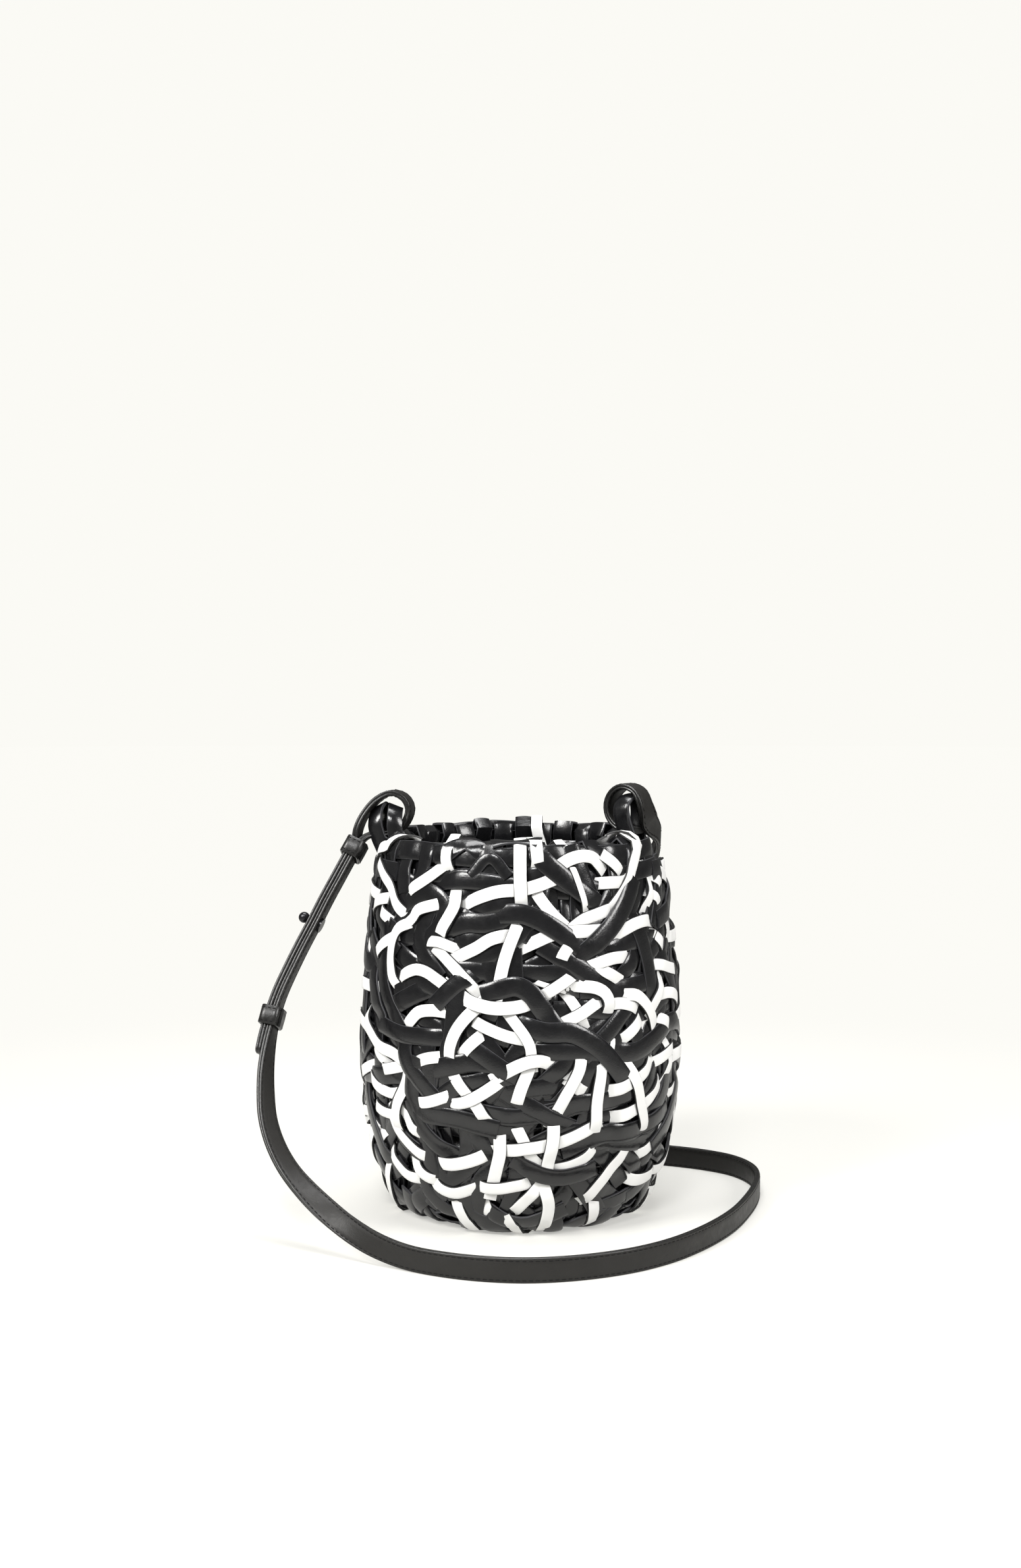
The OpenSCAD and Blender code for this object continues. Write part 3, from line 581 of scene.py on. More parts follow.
# The white strips at the front that can be told apart, with the route of the stretch that shows.
# The first number ranks a strip among the white ones, the second is its width before WHITE_FIT,
# and a last pair is how far its ends run on beyond the route, where that isn't TUCK. A route
# that starts above OVER_RIM has come over the rim, and doesn't run on there
TUCK, OVER_RIM, WHITE_FIT = 9, 206, 0.97
WHITES = [
    (0, 6.5, [-28, 224, -28.3, 212, -29, 204, -29.5, 195, -28.5, 186]),
    (0, 6.5, [-46, 177, -39, 182.5, -34, 187.5, -30, 192]),
    (0, 6.5, [-76, 190, -68, 184, -60, 178, -55, 171, -50, 166]),
    (9, 6.5, [-90, 184, -86, 187, -78, 193, -66, 198, -57, 201], (9, 0)),
    (0, 6.5, [-82, 158, -74, 166, -66, 170, -60, 172]), (0, 6.5, [-68, 166, -62, 163, -57, 160]),
    (0, 6.5, [-33, 171, -40, 168, -43, 163.5, -48, 159.5]),
    (2, 6.5, [-46, 160, -50, 157, -52.5, 150, -53, 140, -52, 132, -50.5, 128]),
    (0, 6.5, [-52, 130, -46, 134, -40, 137.5, -35, 137, -30, 133.5, -26.5, 130]),
    (3, 6.8, [-33, 150, -28, 145, -22, 138, -17.5, 131.5, -15.5, 128]),
    (0, 6.0, [-35, 152.5, -30, 152.5, -25, 150]),
    (2, 6.8, [-25, 179, -24.5, 172, -26.5, 166, -29, 160, -30.5, 155]),
    (1, 7.0, [-20, 173, -14, 176.5, -8, 179, 0, 180, 6, 182, 12, 185]),
    (5, 7.0, [-0.5, 199, -0.5, 185, 0, 171], (3, 9)), (4, 6.8, [-1.5, 162, -4.5, 151, -6.5, 141, -8, 129]),
    (0, 6.8, [-21, 147, -16, 150.5, -11, 155, -6, 157, -3, 157]),
    (5, 7.2, [-23, 128, -18, 124, -12, 121.5, -6, 121, 0, 122, 4, 124.5]),
    (3, 6.8, [-25, 117, -31, 118, -37, 116.5, -41, 112, -45, 106]),
    (3, 6.8, [-16, 120, -19.5, 114.5, -22.5, 108, -24.5, 100, -25, 92]),
    (2, 6.5, [-17, 114.5, -12, 111, -6, 107.5, 0, 105.5, 5, 104.5]),
    (4, 6.0, [-5, 119, -2, 113.5, 1, 107.5, 2.8, 102, 3.2, 98]),
    (1, 6.5, [-21.5, 95, -18, 101, -14.5, 106, -12, 109]), (0, 6.0, [-11, 117.5, -7.5, 115]),
    (0, 6.5, [-39, 90, -33, 93.5, -27, 95]),
    (2, 6.8, [-72, 112, -69, 105, -64, 99, -57, 94.5, -50, 92.5, -45.5, 89]),
    (0, 6.5, [-59, 84, -56, 83, -50, 85, -45, 87]), (0, 6.5, [-84, 72, -77, 76, -70, 80]),
    (0, 6.5, [-62, 74, -58, 71.5, -53, 70.5, -48, 72]),
    (4, 7.0, [-43.5, 80, -46, 72, -48, 64, -49, 57, -49.5, 50]),
    (2, 6.5, [-52, 57, -50, 52, -46, 47, -41, 43, -36, 40]), (0, 6.5, [-66, 62, -60, 60, -52, 59]),
    (0, 6.5, [-39.5, 69, -33, 71, -27.5, 74]), (3, 6.8, [-23.5, 71, -19, 73, -14, 77, -9, 82, -6.5, 85]),
    (1, 6.8, [-24.5, 88, -21, 81.5, -18, 76, -15, 71, -13, 66, -10.5, 61]),
    (2, 6.8, [2.5, 90.5, 1, 85, -0.5, 79, -2.3, 69]),
    (5, 7.0, [-5, 89, -1, 92.5, 3, 94.5, 7, 94.5, 11, 91.5]),
    (0, 6.5, [6.5, 126, 10, 129.5, 15, 134, 19.5, 138]),
    (0, 6.0, [14, 131, 16.5, 126, 19, 120, 21, 114, 23, 108]),
    (3, 6.8, [9, 109.5, 14, 113, 19, 116.5, 24, 120.5, 27, 122.5]),
    (5, 6.8, [22, 131, 26, 130, 29.5, 127, 31, 122, 31, 117]),
    (0, 6.5, [31, 121, 36, 121, 41, 119, 46, 115.5]),
    (3, 6.8, [38, 125, 43, 124, 48, 118.5, 51.5, 111.5, 54.5, 103]),
    (1, 6.8, [49, 115, 43.5, 109, 39, 104.5, 34.5, 100]), (2, 6.5, [51, 113, 54, 118, 58, 124, 60, 129]),
    (0, 6.5, [56, 110, 61, 107.5, 66, 103]), (2, 6.8, [22.5, 140, 28, 142.5, 34, 144, 41, 144]),
    (1, 6.5, [21, 151, 25, 146, 29, 139, 33, 135.5, 37, 132.5]),
    (1, 6.5, [54, 138, 61, 136.5, 70, 133, 80, 130]), (0, 6.8, [19, 157, 17, 152, 14.5, 147, 13, 140]),
    (3, 7.0, [5, 154, 10, 157, 16, 158.5, 22, 158.5, 27, 158.5]),
    (1, 6.5, [5, 180, 7, 175, 11, 168, 15.5, 162, 17.5, 159.5]),
    (2, 6.8, [18.5, 160, 23, 164.5, 28, 166.5, 34, 168.5]), (0, 3.6, [20, 188, 22, 179.5, 24, 170]),
    (0, 6.8, [28.5, 182, 34, 182, 41, 182, 44, 183]),
    (5, 7.2, [52, 198, 47.5, 189, 43.5, 181.5, 40, 175, 37, 171], (2, 9)),
    (0, 6.5, [34, 195, 38, 191, 42, 185.5], (3, 9)),
    (2, 7.0, [14, 191, 18, 194.5, 23, 196, 28, 195, 31, 191.5], (5, 6)),
    (0, 5.5, [14, 218, 14.5, 203, 16.5, 199, 18.5, 195]),
    (1, 6.8, [2, 224, 2.5, 212, 3, 205, 5, 201, 6, 195, 5.7, 189]),
    (9, 6.8, [41, 200.5, 46, 201, 52, 200, 57, 197, 60, 191], (0, 9)),
    (1, 5.5, [58, 185, 58, 178, 56, 171, 53, 164]), (0, 6.5, [61, 183, 66, 179, 68, 173]),
    (0, 6.0, [58, 174, 62, 171, 64, 167]), (1, 6.8, [40, 157.5, 45, 160, 51, 161, 57, 160]),
    (0, 6.5, [61, 151, 64, 147, 68, 142]),
    (4, 7.0, [36, 94, 39, 88, 42, 80, 44, 73, 46, 65, 48.5, 57, 50, 50]),
    (2, 7.0, [28.5, 76, 34, 77, 40, 79.5, 45, 82, 49, 85, 52, 90]),
    (2, 7.0, [31, 61, 37, 62.5, 43, 64.5, 48, 66.5, 53, 70, 57, 74]),
    (3, 7.0, [28.5, 93, 27.5, 86, 26.5, 77, 26, 70, 26, 62, 26, 54]),
    (0, 6.8, [12.5, 88, 16, 84, 20, 79, 24.5, 75.5]),
    (2, 6.8, [20.5, 96, 19.5, 90, 17, 82.5, 14.5, 76, 12, 68]), (0, 3.6, [33, 107, 32.5, 101, 31, 95.5]),
    (0, 6.5, [54, 87, 58, 89, 64, 91, 72, 93]), (0, 6.0, [63, 90, 64, 85, 62, 80]),
    (0, 6.5, [65, 66, 72, 69, 84, 72]), (0, 3.2, [1, 136, 5, 134, 10, 131.5]),
    (0, 6.5, [-59, 129, -62, 124, -66, 116]), (0, 6.5, [-55, 151, -60, 147.5, -65, 142, -67, 136]),
    (0, 6.0, [-61, 92, -56, 87]), (3, 7.0, [-5, 48.5, 2, 50, 8, 51, 15, 53.5, 23, 58]),
    (5, 7.0, [11, 62, 10.5, 52, 9.5, 43, 9, 36]), (4, 6.8, [7.5, 31, 9, 26, 10.5, 18, 10, 9]),
    (1, 6.5, [-2.5, 62, 0.5, 54, 3, 46, 6.5, 40, 8.5, 37]),
    (2, 7.2, [-31.5, 38, -25, 39, -18, 42, -11, 46.5]), (5, 7.0, [-7.5, 55, -7.5, 47, -9, 38, -10.5, 30]),
    (2, 6.8, [-15.5, 28, -8, 28, 0, 29.5, 5, 31.5]), (3, 6.8, [8.5, 31, 4, 24.5, 0, 18.5, -4, 12]),
    (2, 6.8, [12, 37.5, 18, 39.5, 24, 44, 28, 49]), (4, 7.0, [44, 46, 40, 40, 35, 33, 30, 26, 27, 21]),
    (1, 6.8, [64, 54, 61, 47, 55, 41.5, 47, 37]), (0, 7.0, [44, 27, 50, 24.5, 58, 24, 68, 26]),
    (3, 6.8, [30, 19, 31, 11, 33, 3]), (3, 6.0, [-3, 5, 0, 1, 5, 0.5, 8, 4]),
    (2, 6.5, [-15, 19, -13.5, 13, -13, 7]), (4, 6.8, [-28, 22, -26, 15, -24, 7, -21, 2]),
    (2, 6.8, [-36, 28, -31, 24, -26, 23, -20, 25.5]), (3, 6.8, [-47, 43, -43, 35, -38, 30, -31, 27.5]),
    (1, 6.8, [-60, 42, -55, 34, -49, 28, -42, 27]), (0, 6.5, [-44, 60, -41, 55, -37, 51.5]),
    (0, 6.5, [-68, 40, -62, 46, -57, 51]),
]
# The black strips that lie on the fill at the front, in the same way
BLACKS = [
    (2, 10, [6, 198, 10, 192, 15, 186.5, 20, 181, 25, 176]),
    (3, 10, [28, 222, 28.5, 210, 29, 203, 31, 197, 34, 190, 36, 185]),
    (1, 10, [22, 190, 24, 183, 26.5, 175, 28, 167]),
    (60, 10.5, [44, 176, 40, 168.5, 34, 160, 27, 152, 22, 147]),
    (2, 10, [47, 160, 50, 150, 52, 140, 53, 130]), (1, 9, [50, 186, 58, 187, 70, 188]),
    (55, 10, [-6, 168, 0, 168, 6, 165, 12, 160, 16, 156]), (0, 9, [-20, 168, -12, 172, -4, 174.5]),
    (0, 9, [-34, 182, -26, 184, -17, 184, -9, 183]),
    (2, 10, [-45, 173, -38, 177, -31, 173, -28.5, 166, -31, 159, -36, 152]),
    (0, 9, [-58, 157, -54, 163.5, -47, 168, -40, 170]), (1, 9, [-37, 164, -39, 155, -37.5, 147, -34, 141]),
    (1, 10, [-27, 160, -20, 163, -13, 163, -8, 165]), (0, 9, [-10.5, 172, -10, 164, -9.5, 156]),
    (2, 10, [-56, 152, -59, 140, -58.5, 129, -55, 120, -51, 113]),
    (1, 10, [-54, 115, -47, 120, -40, 125, -34, 129]), (0, 9, [-45, 128, -38, 131, -31, 129, -25, 124]),
    (52, 9, [-30, 122, -26, 128, -22, 133, -17, 137]), (1, 9, [-23, 127, -23.5, 118, -24, 109]),
    (1, 9, [-53, 105, -45, 103.5, -36, 104, -28, 104.5]),
    (3, 10, [-44, 103, -44, 95, -42, 88, -38, 82.5, -34, 77]),
    (1, 10, [-31, 88, -24, 91, -17, 93, -10, 93]), (1, 9, [-13, 97, -8, 92, -3, 87, 2, 82]),
    (0, 9, [-33.5, 95, -33.5, 84, -33, 74]), (2, 10, [-29, 69, -27, 75, -22, 80, -17, 82]),
    (1, 10, [-40, 84, -41, 74, -40, 64, -39, 54]), (2, 10, [-37, 64, -30, 64, -22, 63.5, -14, 61]),
    (0, 9, [-14, 68, -6, 66, 2, 66, 10, 68]),
    (60, 10, [-8, 130, -2, 132, 3, 128.5, 6.5, 121.5, 10, 114, 13, 108]),
    (65, 10, [1, 112, 8, 109, 16, 108.5, 21, 105.5, 26, 100.5, 30, 95, 34, 88]),
    (1, 9, [4, 99, 12, 99, 20, 98.5, 27, 97]), (1, 10, [12, 148, 17, 143.5, 22, 139, 27, 134, 32, 129]),
    (0, 9, [27, 128, 33, 128, 40, 128.5, 46, 129]), (2, 9, [49, 150, 45, 143.5, 41, 138, 37, 132]),
    (1, 9, [40, 119, 35.5, 113, 31, 107, 26, 101]), (0, 9, [-2, 139, 6, 138, 14, 138]),
    (1, 9, [42, 110, 44.5, 100, 45, 90]), (1, 10, [34, 96.5, 42, 95, 50, 98, 58, 102]),
    (0, 9, [8, 83, 12, 89, 17, 94]), (2, 10, [15, 69, 20, 71.5, 28, 71.5, 34, 71.5, 40, 74]),
    (0, 9, [-1, 74, 4, 70, 9, 65.5, 15, 61]), (0, 9, [25, 96, 23.5, 87, 22, 78]),
    (0, 10, [62, 93, 63, 82, 62, 72, 58, 63]), (1, 10, [20, 50, 30, 54, 40, 53, 52, 54, 60, 57]),
    (52, 9, [2, 39, 8, 35, 15, 33.5, 22, 35]), (1, 9, [-12, 13, -4, 8, 4, 7.5, 12, 12]),
    (1, 9, [-40, 62, -36, 54, -30, 47, -24, 42]),
]
for order, w, route, *dive in WHITES:
    tuck = dive[0] if dive else (0 if route[1] > OVER_RIM else TUCK, TUCK)
    lay(route, WHITE_TOP, w * WHITE_FIT, 100 + order, tuck, True, -1)
for order, w, route in BLACKS:
    lay(route, BLACK_TOP, w, 60 + order, (0 if route[1] > OVER_RIM else TUCK, TUCK), index=-1)


def scatter(count, gap, lo, hi, allowed, tries=24000):
    """Places spread over the wall, no nearer to each other than `gap`."""
    kept = []
    for p in rng.random((tries, 2)):
        t, a = -math.pi + 2 * math.pi * p[0], lo + (hi - lo) * p[1]
        if not allowed(t, a):
            continue
        if kept:
            k = np.array(kept)
            dt = (k[:, 0] - t + math.pi) % (2 * math.pi) - math.pi
            if (np.hypot(dt * SPREAD_R, k[:, 1] - a) < gap).any():
                continue
        kept.append((t, a))
        if len(kept) >= count:
            break
    return kept


ROOF = float(along_wall(187))      # loose strips stay below the rim


def short_strip(t, a, angle, length, bend, kind, w, rank, white=False):
    """A strip of a given length, laid at an angle with a given bend about its middle."""
    s = np.linspace(-length / 2, length / 2, 5)
    g = angle + bend * s
    u = t * UNROLL_R + np.cumsum(np.cos(g)) * (s[1] - s[0])
    v = a + np.cumsum(np.sin(g)) * (s[1] - s[0])
    u = u - u.mean() + t * UNROLL_R
    v = np.minimum(v - v.mean() + a, ROOF - 3 * rng.random())
    z = np.where(v > 0, np.interp(v, wall_a, wall_z), v / 1.3 + LOW)
    lay(np.stack([np.degrees(u / UNROLL_R), z], 1), kind, w, rank, (TUCK, TUCK), white, -2)


FRONT = math.radians(66)    # the routes above cover the front this far to either side
top_limit = float(along_wall(186))
for t, a in scatter(430, 13.8, -10, top_limit, lambda t, a: True):
    short_strip(t, a, rng.random() * math.pi, 18 + 16 * rng.random(), rng.normal() * 0.014, FILL,
                8.8 + 1.6 * rng.random(), 10 + 30 * rng.random())
taken = np.array([(math.radians(q), float(along_wall(z))) for _, _, route, *_ in WHITES
                  for q, z in zip(route[::2], route[1::2]) if z < 200])


def white_room(t, a):
    """Whether a white strip may lie here: outside the front and clear of the routes above."""
    if abs(t) < FRONT:
        return False
    dt = (taken[:, 0] - t + math.pi) % (2 * math.pi) - math.pi
    return (np.hypot(dt * SPREAD_R, taken[:, 1] - a) > 13).all()


for t, a in scatter(200, 17.5, -8, float(along_wall(190)), white_room):
    short_strip(t, a, rng.random() * math.pi, 20 + 24 * rng.random(), rng.normal() * 0.02, WHITE_TOP,
                6 + rng.random(), 100 + 6 * rng.random(), True)
for t, a in scatter(80, 24, -6, top_limit, lambda t, a: abs(t) > FRONT):
    short_strip(t, a, rng.random() * math.pi, 26 + 22 * rng.random(), rng.normal() * 0.02, BLACK_TOP,
                9.5 + rng.random(), 60 + 55 * rng.random())

# Tabs that fold over the rim, and the rings that they cross: one outside and one inside
TABS = [-66, -54, -42, -12, 22, 40, 50, 62, *np.arange(115, 262, 10.5), -75]
RIM_RUNS = ((-81, 75), (110, 261))
for i, q in enumerate(TABS):
    lean = 2.5 * math.sin(i * 1.9)
    lay([q + lean, 181, q, 195, q, 201, q - lean * 0.3, 208, q - lean, 222],
        TAB, 10 + 1.2 * math.sin(i * 2.7), 42, (6, 6), index=i)
lay([175, 186, 173, 196, 170, 204, 166, 219], WHITE_TOP, 6.6, 104, (6, 6), True, index=-3)
for j, z in enumerate([196.5, 211.5]):
    for lo, hi in RIM_RUNS:
        lay([(t, z + 0.8 * math.sin(math.radians(t * 6 + j * 50))) for t in np.arange(lo, hi, 3.0)],
            RIM_RING, 10, 41, (0, 0), index=j)
# A small arched strip under the front of the rim, and two level ones above it
lay([-17, 190, -14.5, 194, -12, 195.5, -9.5, 194, -7, 190], BLACK_TOP, 6, 75, (5, 5), index=-4)
lay([-31, 197, -22, 198.5, -14, 197], BLACK_TOP, 9.5, 76, (6, 6), index=-4)
lay([-8, 199, -2, 199.5, 3, 199], BLACK_TOP, 8.5, 77, (6, 6), index=-4)

# ---- how the strips lie on each other ----


def rasters():
    """Every strip laid out on a grid over the wall: which strips meet in a cell, and where on
    each. It also numbers the points of all the strips in one row."""
    cell = 1.7
    cols = int(round(2 * math.pi * UNROLL_R / cell))
    out = []
    first = 0
    for i, s in enumerate(strips):
        n = len(s["theta"])
        s["first"] = first
        first += n
        fine = np.arange(0, n - 1 + 1e-6, 0.45)
        k = np.arange(n)
        th, a = np.interp(fine, k, s["theta"]), np.interp(fine, k, s["a"])
        r = np.interp(a, core_a, core_p[:, 0])
        du, da = np.gradient(th) * r, np.gradient(a)
        d = np.hypot(du, da)
        v = np.linspace(-1, 1, int(s["w"] / 1.2) + 2)
        half = s["w"] / 2 + 0.15
        tt = th[:, None] - (da / d / r)[:, None] * v * half
        aa = a[:, None] + (du / d)[:, None] * v * half
        ci = np.floor((tt / (2 * math.pi)) % 1.0 * cols).astype(int)
        cj = np.floor((aa - core_a[0]) / cell).astype(int)
        key = cj * cols + ci
        key, pick = np.unique(key.ravel(), return_index=True)
        ks = np.repeat(fine, len(v))[pick]
        vs = np.tile(v, len(fine))[pick]
        out.append((key, np.full(len(key), i), ks, vs))
    return [np.concatenate([o[c] for o in out]) for c in range(4)] + [first]


def contacts():
    """The places where one strip lies on another: the point of the upper strip and how far
    across it, from -1 to 1, and the same for the lower one."""
    key, who, ks, vs, total = rasters()
    order = np.argsort(key, kind="stable")
    key, who, ks, vs = key[order], who[order], ks[order], vs[order]
    found = []
    for d in range(1, 9):
        same = np.where(key[d:] == key[:-d])[0]
        if len(same) == 0:
            break
        found.append(np.stack([same, same + d], 1))
    pair = np.concatenate(found)
    a, b = who[pair[:, 0]], who[pair[:, 1]]
    name = a.astype(np.int64) * len(strips) + b
    names, inverse = np.unique(name, return_inverse=True)
    times = np.bincount(inverse)
    mean_a = np.bincount(inverse, ks[pair[:, 0]]) / times
    mean_b = np.bincount(inverse, ks[pair[:, 1]]) / times
    over = np.zeros(len(names), bool)
    for q, nm in enumerate(names):
        i, j = divmod(int(nm), len(strips))
        over[q] = lies_over(strips[i], strips[j], mean_a[q], mean_b[q], i, j)
    up = over[inverse]
    # where three or more meet, only the crossings that agree with one order of the stack are kept
    winner, loser = np.where(up, pair[:, 0], pair[:, 1]), np.where(up, pair[:, 1], pair[:, 0])
    wins = np.bincount(winner, minlength=len(key))
    agreed = wins[winner] > wins[loser]
    pair, a, b, up = pair[agreed], a[agreed], b[agreed], up[agreed]
    first = np.array([s["first"] for s in strips])
    size = np.array([len(s["theta"]) for s in strips])
    ka, kb = (first[w] + np.minimum(np.round(ks[p]).astype(int), size[w] - 1)
              for w, p in ((a, pair[:, 0]), (b, pair[:, 1])))
    va, vb = vs[pair[:, 0]], vs[pair[:, 1]]
    return np.where(up, ka, kb), np.where(up, va, vb), np.where(up, kb, ka), np.where(up, vb, va), total


def lies_over(s, t, ks, kt, i, j):
    """Whether strip s passes over strip t where they cross."""
    kinds = {s["kind"], t["kind"]}
    if kinds == {STAKE, RING} or kinds == {TAB, RIM_RING}:
        return ((s["index"] + t["index"]) % 2 == 0) == (s["kind"] in (STAKE, TAB))

    def standing(q, k):
        """A strip's rank, or a low one near an end that tucks under: lowest for a white strip."""
        gone = (k * STRIP_STEP, (len(q["theta"]) - 1 - k) * STRIP_STEP)
        tucked = any(dive and g < dive * 0.95 for g, dive in zip(gone, q["dive"]))
        if not tucked or q["closed"] or q["kind"] in (STAKE, RING, RIM_RING):
            return q["rank"]
        return (-10 if q["kind"] == WHITE_TOP else 5) + q["rank"] * 0.001

    a, b = standing(s, ks), standing(t, kt)
    return a > b if a != b else i > j


# For each kind of strip: the height above the core it starts at, the most it may reach, how much
# more for each step in rank, from which rank, and how much its push on a strip below counts
KINDS = {
    STAKE: (0.3, 3.4, 0, 0, 1), RING: (0.6, 3.4, 0, 0, 1), FILL: (2.5, 4.8, 0.03, 10, 1),
    BLACK_TOP: (3.8, 6.6, 0.015, 60, 2.5), WHITE_TOP: (4.6, 7.6, 0.28, 100, 5),
    TAB: (2.2, 5.4, 0, 0, 2), RIM_RING: (2.0, 4.6, 0, 0, 1),
}
ROUNDS, LAST = 200, 29     # rounds of the relaxation, and those at its end with little smoothing
RISE, SINK = 1.25, 0.8     # how much of a push a strip takes up as the upper one and as the lower
MOST_TILT = 0.22           # the steepest that a strip may lean across its width


def relax():
    """Heights of every strip's two edges above the core, so that each strip clears the ones
    under it: they start low, overlapping strips push each other apart, and their own stiffness
    evens them out along their length."""
    ka, va, kb, vb, total = contacts()
    back = np.arange(total) - 1
    on = np.arange(total) + 1
    width, start, most, firm = np.zeros((4, total))
    for s in strips:
        f, n = s["first"], len(s["theta"])
        back[f] = f + n - 1 if s["closed"] else f
        on[f + n - 1] = f if s["closed"] else f + n - 1
        level, highest, spare, lowest_rank, hold = KINDS[s["kind"]]
        above = s["rank"] - lowest_rank
        width[f : f + n] = s["w"]
        start[f : f + n] = level + (s["rank"] % 1) * 0.5
        most[f : f + n] = highest + spare * (min(above, 6) if s["kind"] == WHITE_TOP else above)
        firm[f : f + n] = hold
        for end, k in ((0, np.arange(n)), (1, np.arange(n)[::-1])):
            if s["dive"][end] and not s["closed"]:
                start[f : f + n][k * STRIP_STEP < s["dive"][end]] = 0.4
    firm = firm[ka]
    left, right = start.copy(), start.copy()
    wa, wb = (1 + va) / 2, (1 + vb) / 2
    for it in range(ROUNDS):
        ha = left[ka] * (1 - wa) + right[ka] * wa
        hb = left[kb] * (1 - wb) + right[kb] * wb
        miss = hb + SPACE - ha
        hit = miss > 0
        m, pa, pb, qa, qb, f = miss[hit], ka[hit], kb[hit], wa[hit], wb[hit], firm[hit]
        push = 0.5 * m
        for h, fa, fb in ((left, f * (1 - qa), f * (1 - qb)), (right, f * qa, f * qb)):
            up, up_count = np.bincount(pa, push * fa, total), np.bincount(pa, fa, total)
            down, down_count = np.bincount(pb, push * fb, total), np.bincount(pb, fb, total)
            h += RISE * up / np.maximum(up_count, 0.6) - SINK * down / np.maximum(down_count, 0.6)
        late = it >= ROUNDS - LAST
        k = 0.05 if late else 0.16
        for h in (left, right):
            h += k * ((h[back] + h[on]) / 2 - h)
            if not late:
                h -= 0.02
        tilt = (right - left) * 0.5
        cap = np.clip(tilt, -MOST_TILT * width / 2, MOST_TILT * width / 2)
        mid = (left + right) / 2
        left, right = mid - cap * 0.97, mid + cap * 0.97
        np.clip(left, 0, most, out=left)
        np.clip(right, 0, most, out=right)
    for h in (left, right) * 3:
        h += 0.45 * ((h[back] + h[on]) / 2 - h)
    return left, right


left_h, right_h = relax()
LOWEST = 0.12    # nothing of the weave is nearer to the floor than this
groups = {}
for s in strips:
    f, n = s["first"], len(s["theta"])
    theta, a = s["theta"], s["a"]
    hl, hr = left_h[f : f + n], right_h[f : f + n]
    if s["closed"]:
        theta, a = np.append(theta, theta[0] + 2 * math.pi), np.append(a, a[0])
        hl, hr = np.append(hl, hl[0]), np.append(hr, hr[0])
    p, normal = on_core(theta, a)
    mid = p + normal * ((hl + hr) / 2 + THICK / 2)[:, None]
    along = unit(np.gradient(mid, axis=0))
    if s["closed"]:
        along[0] = along[-1] = unit(along[0] + along[-1])
    side = unit(np.cross(normal, along))
    lean = ((hr - hl) / s["w"])[:, None]
    x = unit(side + normal * lean)
    y = np.cross(along, x)
    rings = carry(np.asarray(strip_section(s["w"], THICK, 0.15 if s["white"] else 0.48)), mid, x, y)
    rings[..., 2] = np.maximum(rings[..., 2], LOWEST)
    quarter = int(((theta[len(theta) // 2] + math.pi) / (2 * math.pi)) % 1.0 * 4)
    if s["kind"] in (STAKE, RING, TAB, RIM_RING):
        name = {STAKE: "upright_strips", RING: "level_strips", TAB: "rim_tabs_black",
                RIM_RING: "rim_rings"}[s["kind"]]
    elif s["index"] == -3:
        name = "rim_tabs_white"
    else:
        name = ("white_strips_" if s["white"] else "black_strips_") + str(quarter + 1)
    b = groups.setdefault(name, Builder())
    b.add_rings(rings, STRIP_EDGE)
for name, b in sorted(groups.items()):
    white = "white" in name
    b.make(name, [WHITE, WHITE_EDGE] if white else [BLACK, BLACK_EDGE])
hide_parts("wall_stakes")
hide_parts("level_weavers")
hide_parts("black_left_climbers")
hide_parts("black_right_climbers")
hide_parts("white_left_climbers", "left_loop_binding")
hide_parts("white_right_climbers", "right_loop_binding")
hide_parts("rim_folds_black")
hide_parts("rim_folds_white")
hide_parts("rim_band_outer", "rim_band_inner")

# ---- base ----


def base_weave(name, z, reach, pitch, w, turn, swing=0.75):
    """A plain weave of strips across the base, each passing over and under the others."""
    b, c, s = Builder(), math.cos(math.radians(turn)), math.sin(math.radians(turn))
    n = int(reach / pitch)
    for way in (0, 1):
        for i in range(-n, n + 1):
            off = i * pitch
            half = math.sqrt(max(reach**2 - off**2, 0)) - 0.5
            if half < 8:
                continue
            t = np.arange(-half, half + 0.01, 1.6)
            h = z + swing * np.cos(math.pi * t / pitch) * (1 if (i + way) % 2 else -1)
            x, y = (t, np.full_like(t, off)) if way == 0 else (np.full_like(t, off), t)
            at = np.stack([x * c - y * s, x * s + y * c, h], 1)
            side = np.tile([(-s, c, 0), (-c, -s, 0)][way], (len(t), 1))
            b.sweep(at, side, strip_section(w, THICK, 0.15), STRIP_EDGE)
    o = b.make(name, [BLACK, BLACK_EDGE])
    return o


base_low = base_weave("base_underside", 1.7, 52, 10.2, 9.4, 20)
base_top = base_weave("base_inside", 9.3, 66, 10.6, 9.8, -25)
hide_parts("base_layer_1", "base_layer_2", "base_layer_3")
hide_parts("base_layer_4", "base_layer_5")

# ---- loops ----

LOOP_THICK = 1.9


def arch(name, line, side, w, cup):
    """A leather arch. Its band is cupped across its width where it bends over the crown."""
    line, side = even(line, 1.0, side)
    along, side, face = directions(line, side)
    upright = np.abs(along[:, 2:3])
    sec = np.asarray(strip_section(w, LOOP_THICK, 0.15))
    drop = cup * (1 - upright) * (2 * sec[None, :, 0] / w) ** 2
    rings = (line[:, None] + sec[None, :, 0:1] * side[:, None]
             + (sec[None, :, 1] - drop)[..., None] * face[:, None])
    b = Builder()
    b.add_rings(rings, STRIP_EDGE)
    o = b.make(name, [BLACK, BLACK_EDGE])
    return o


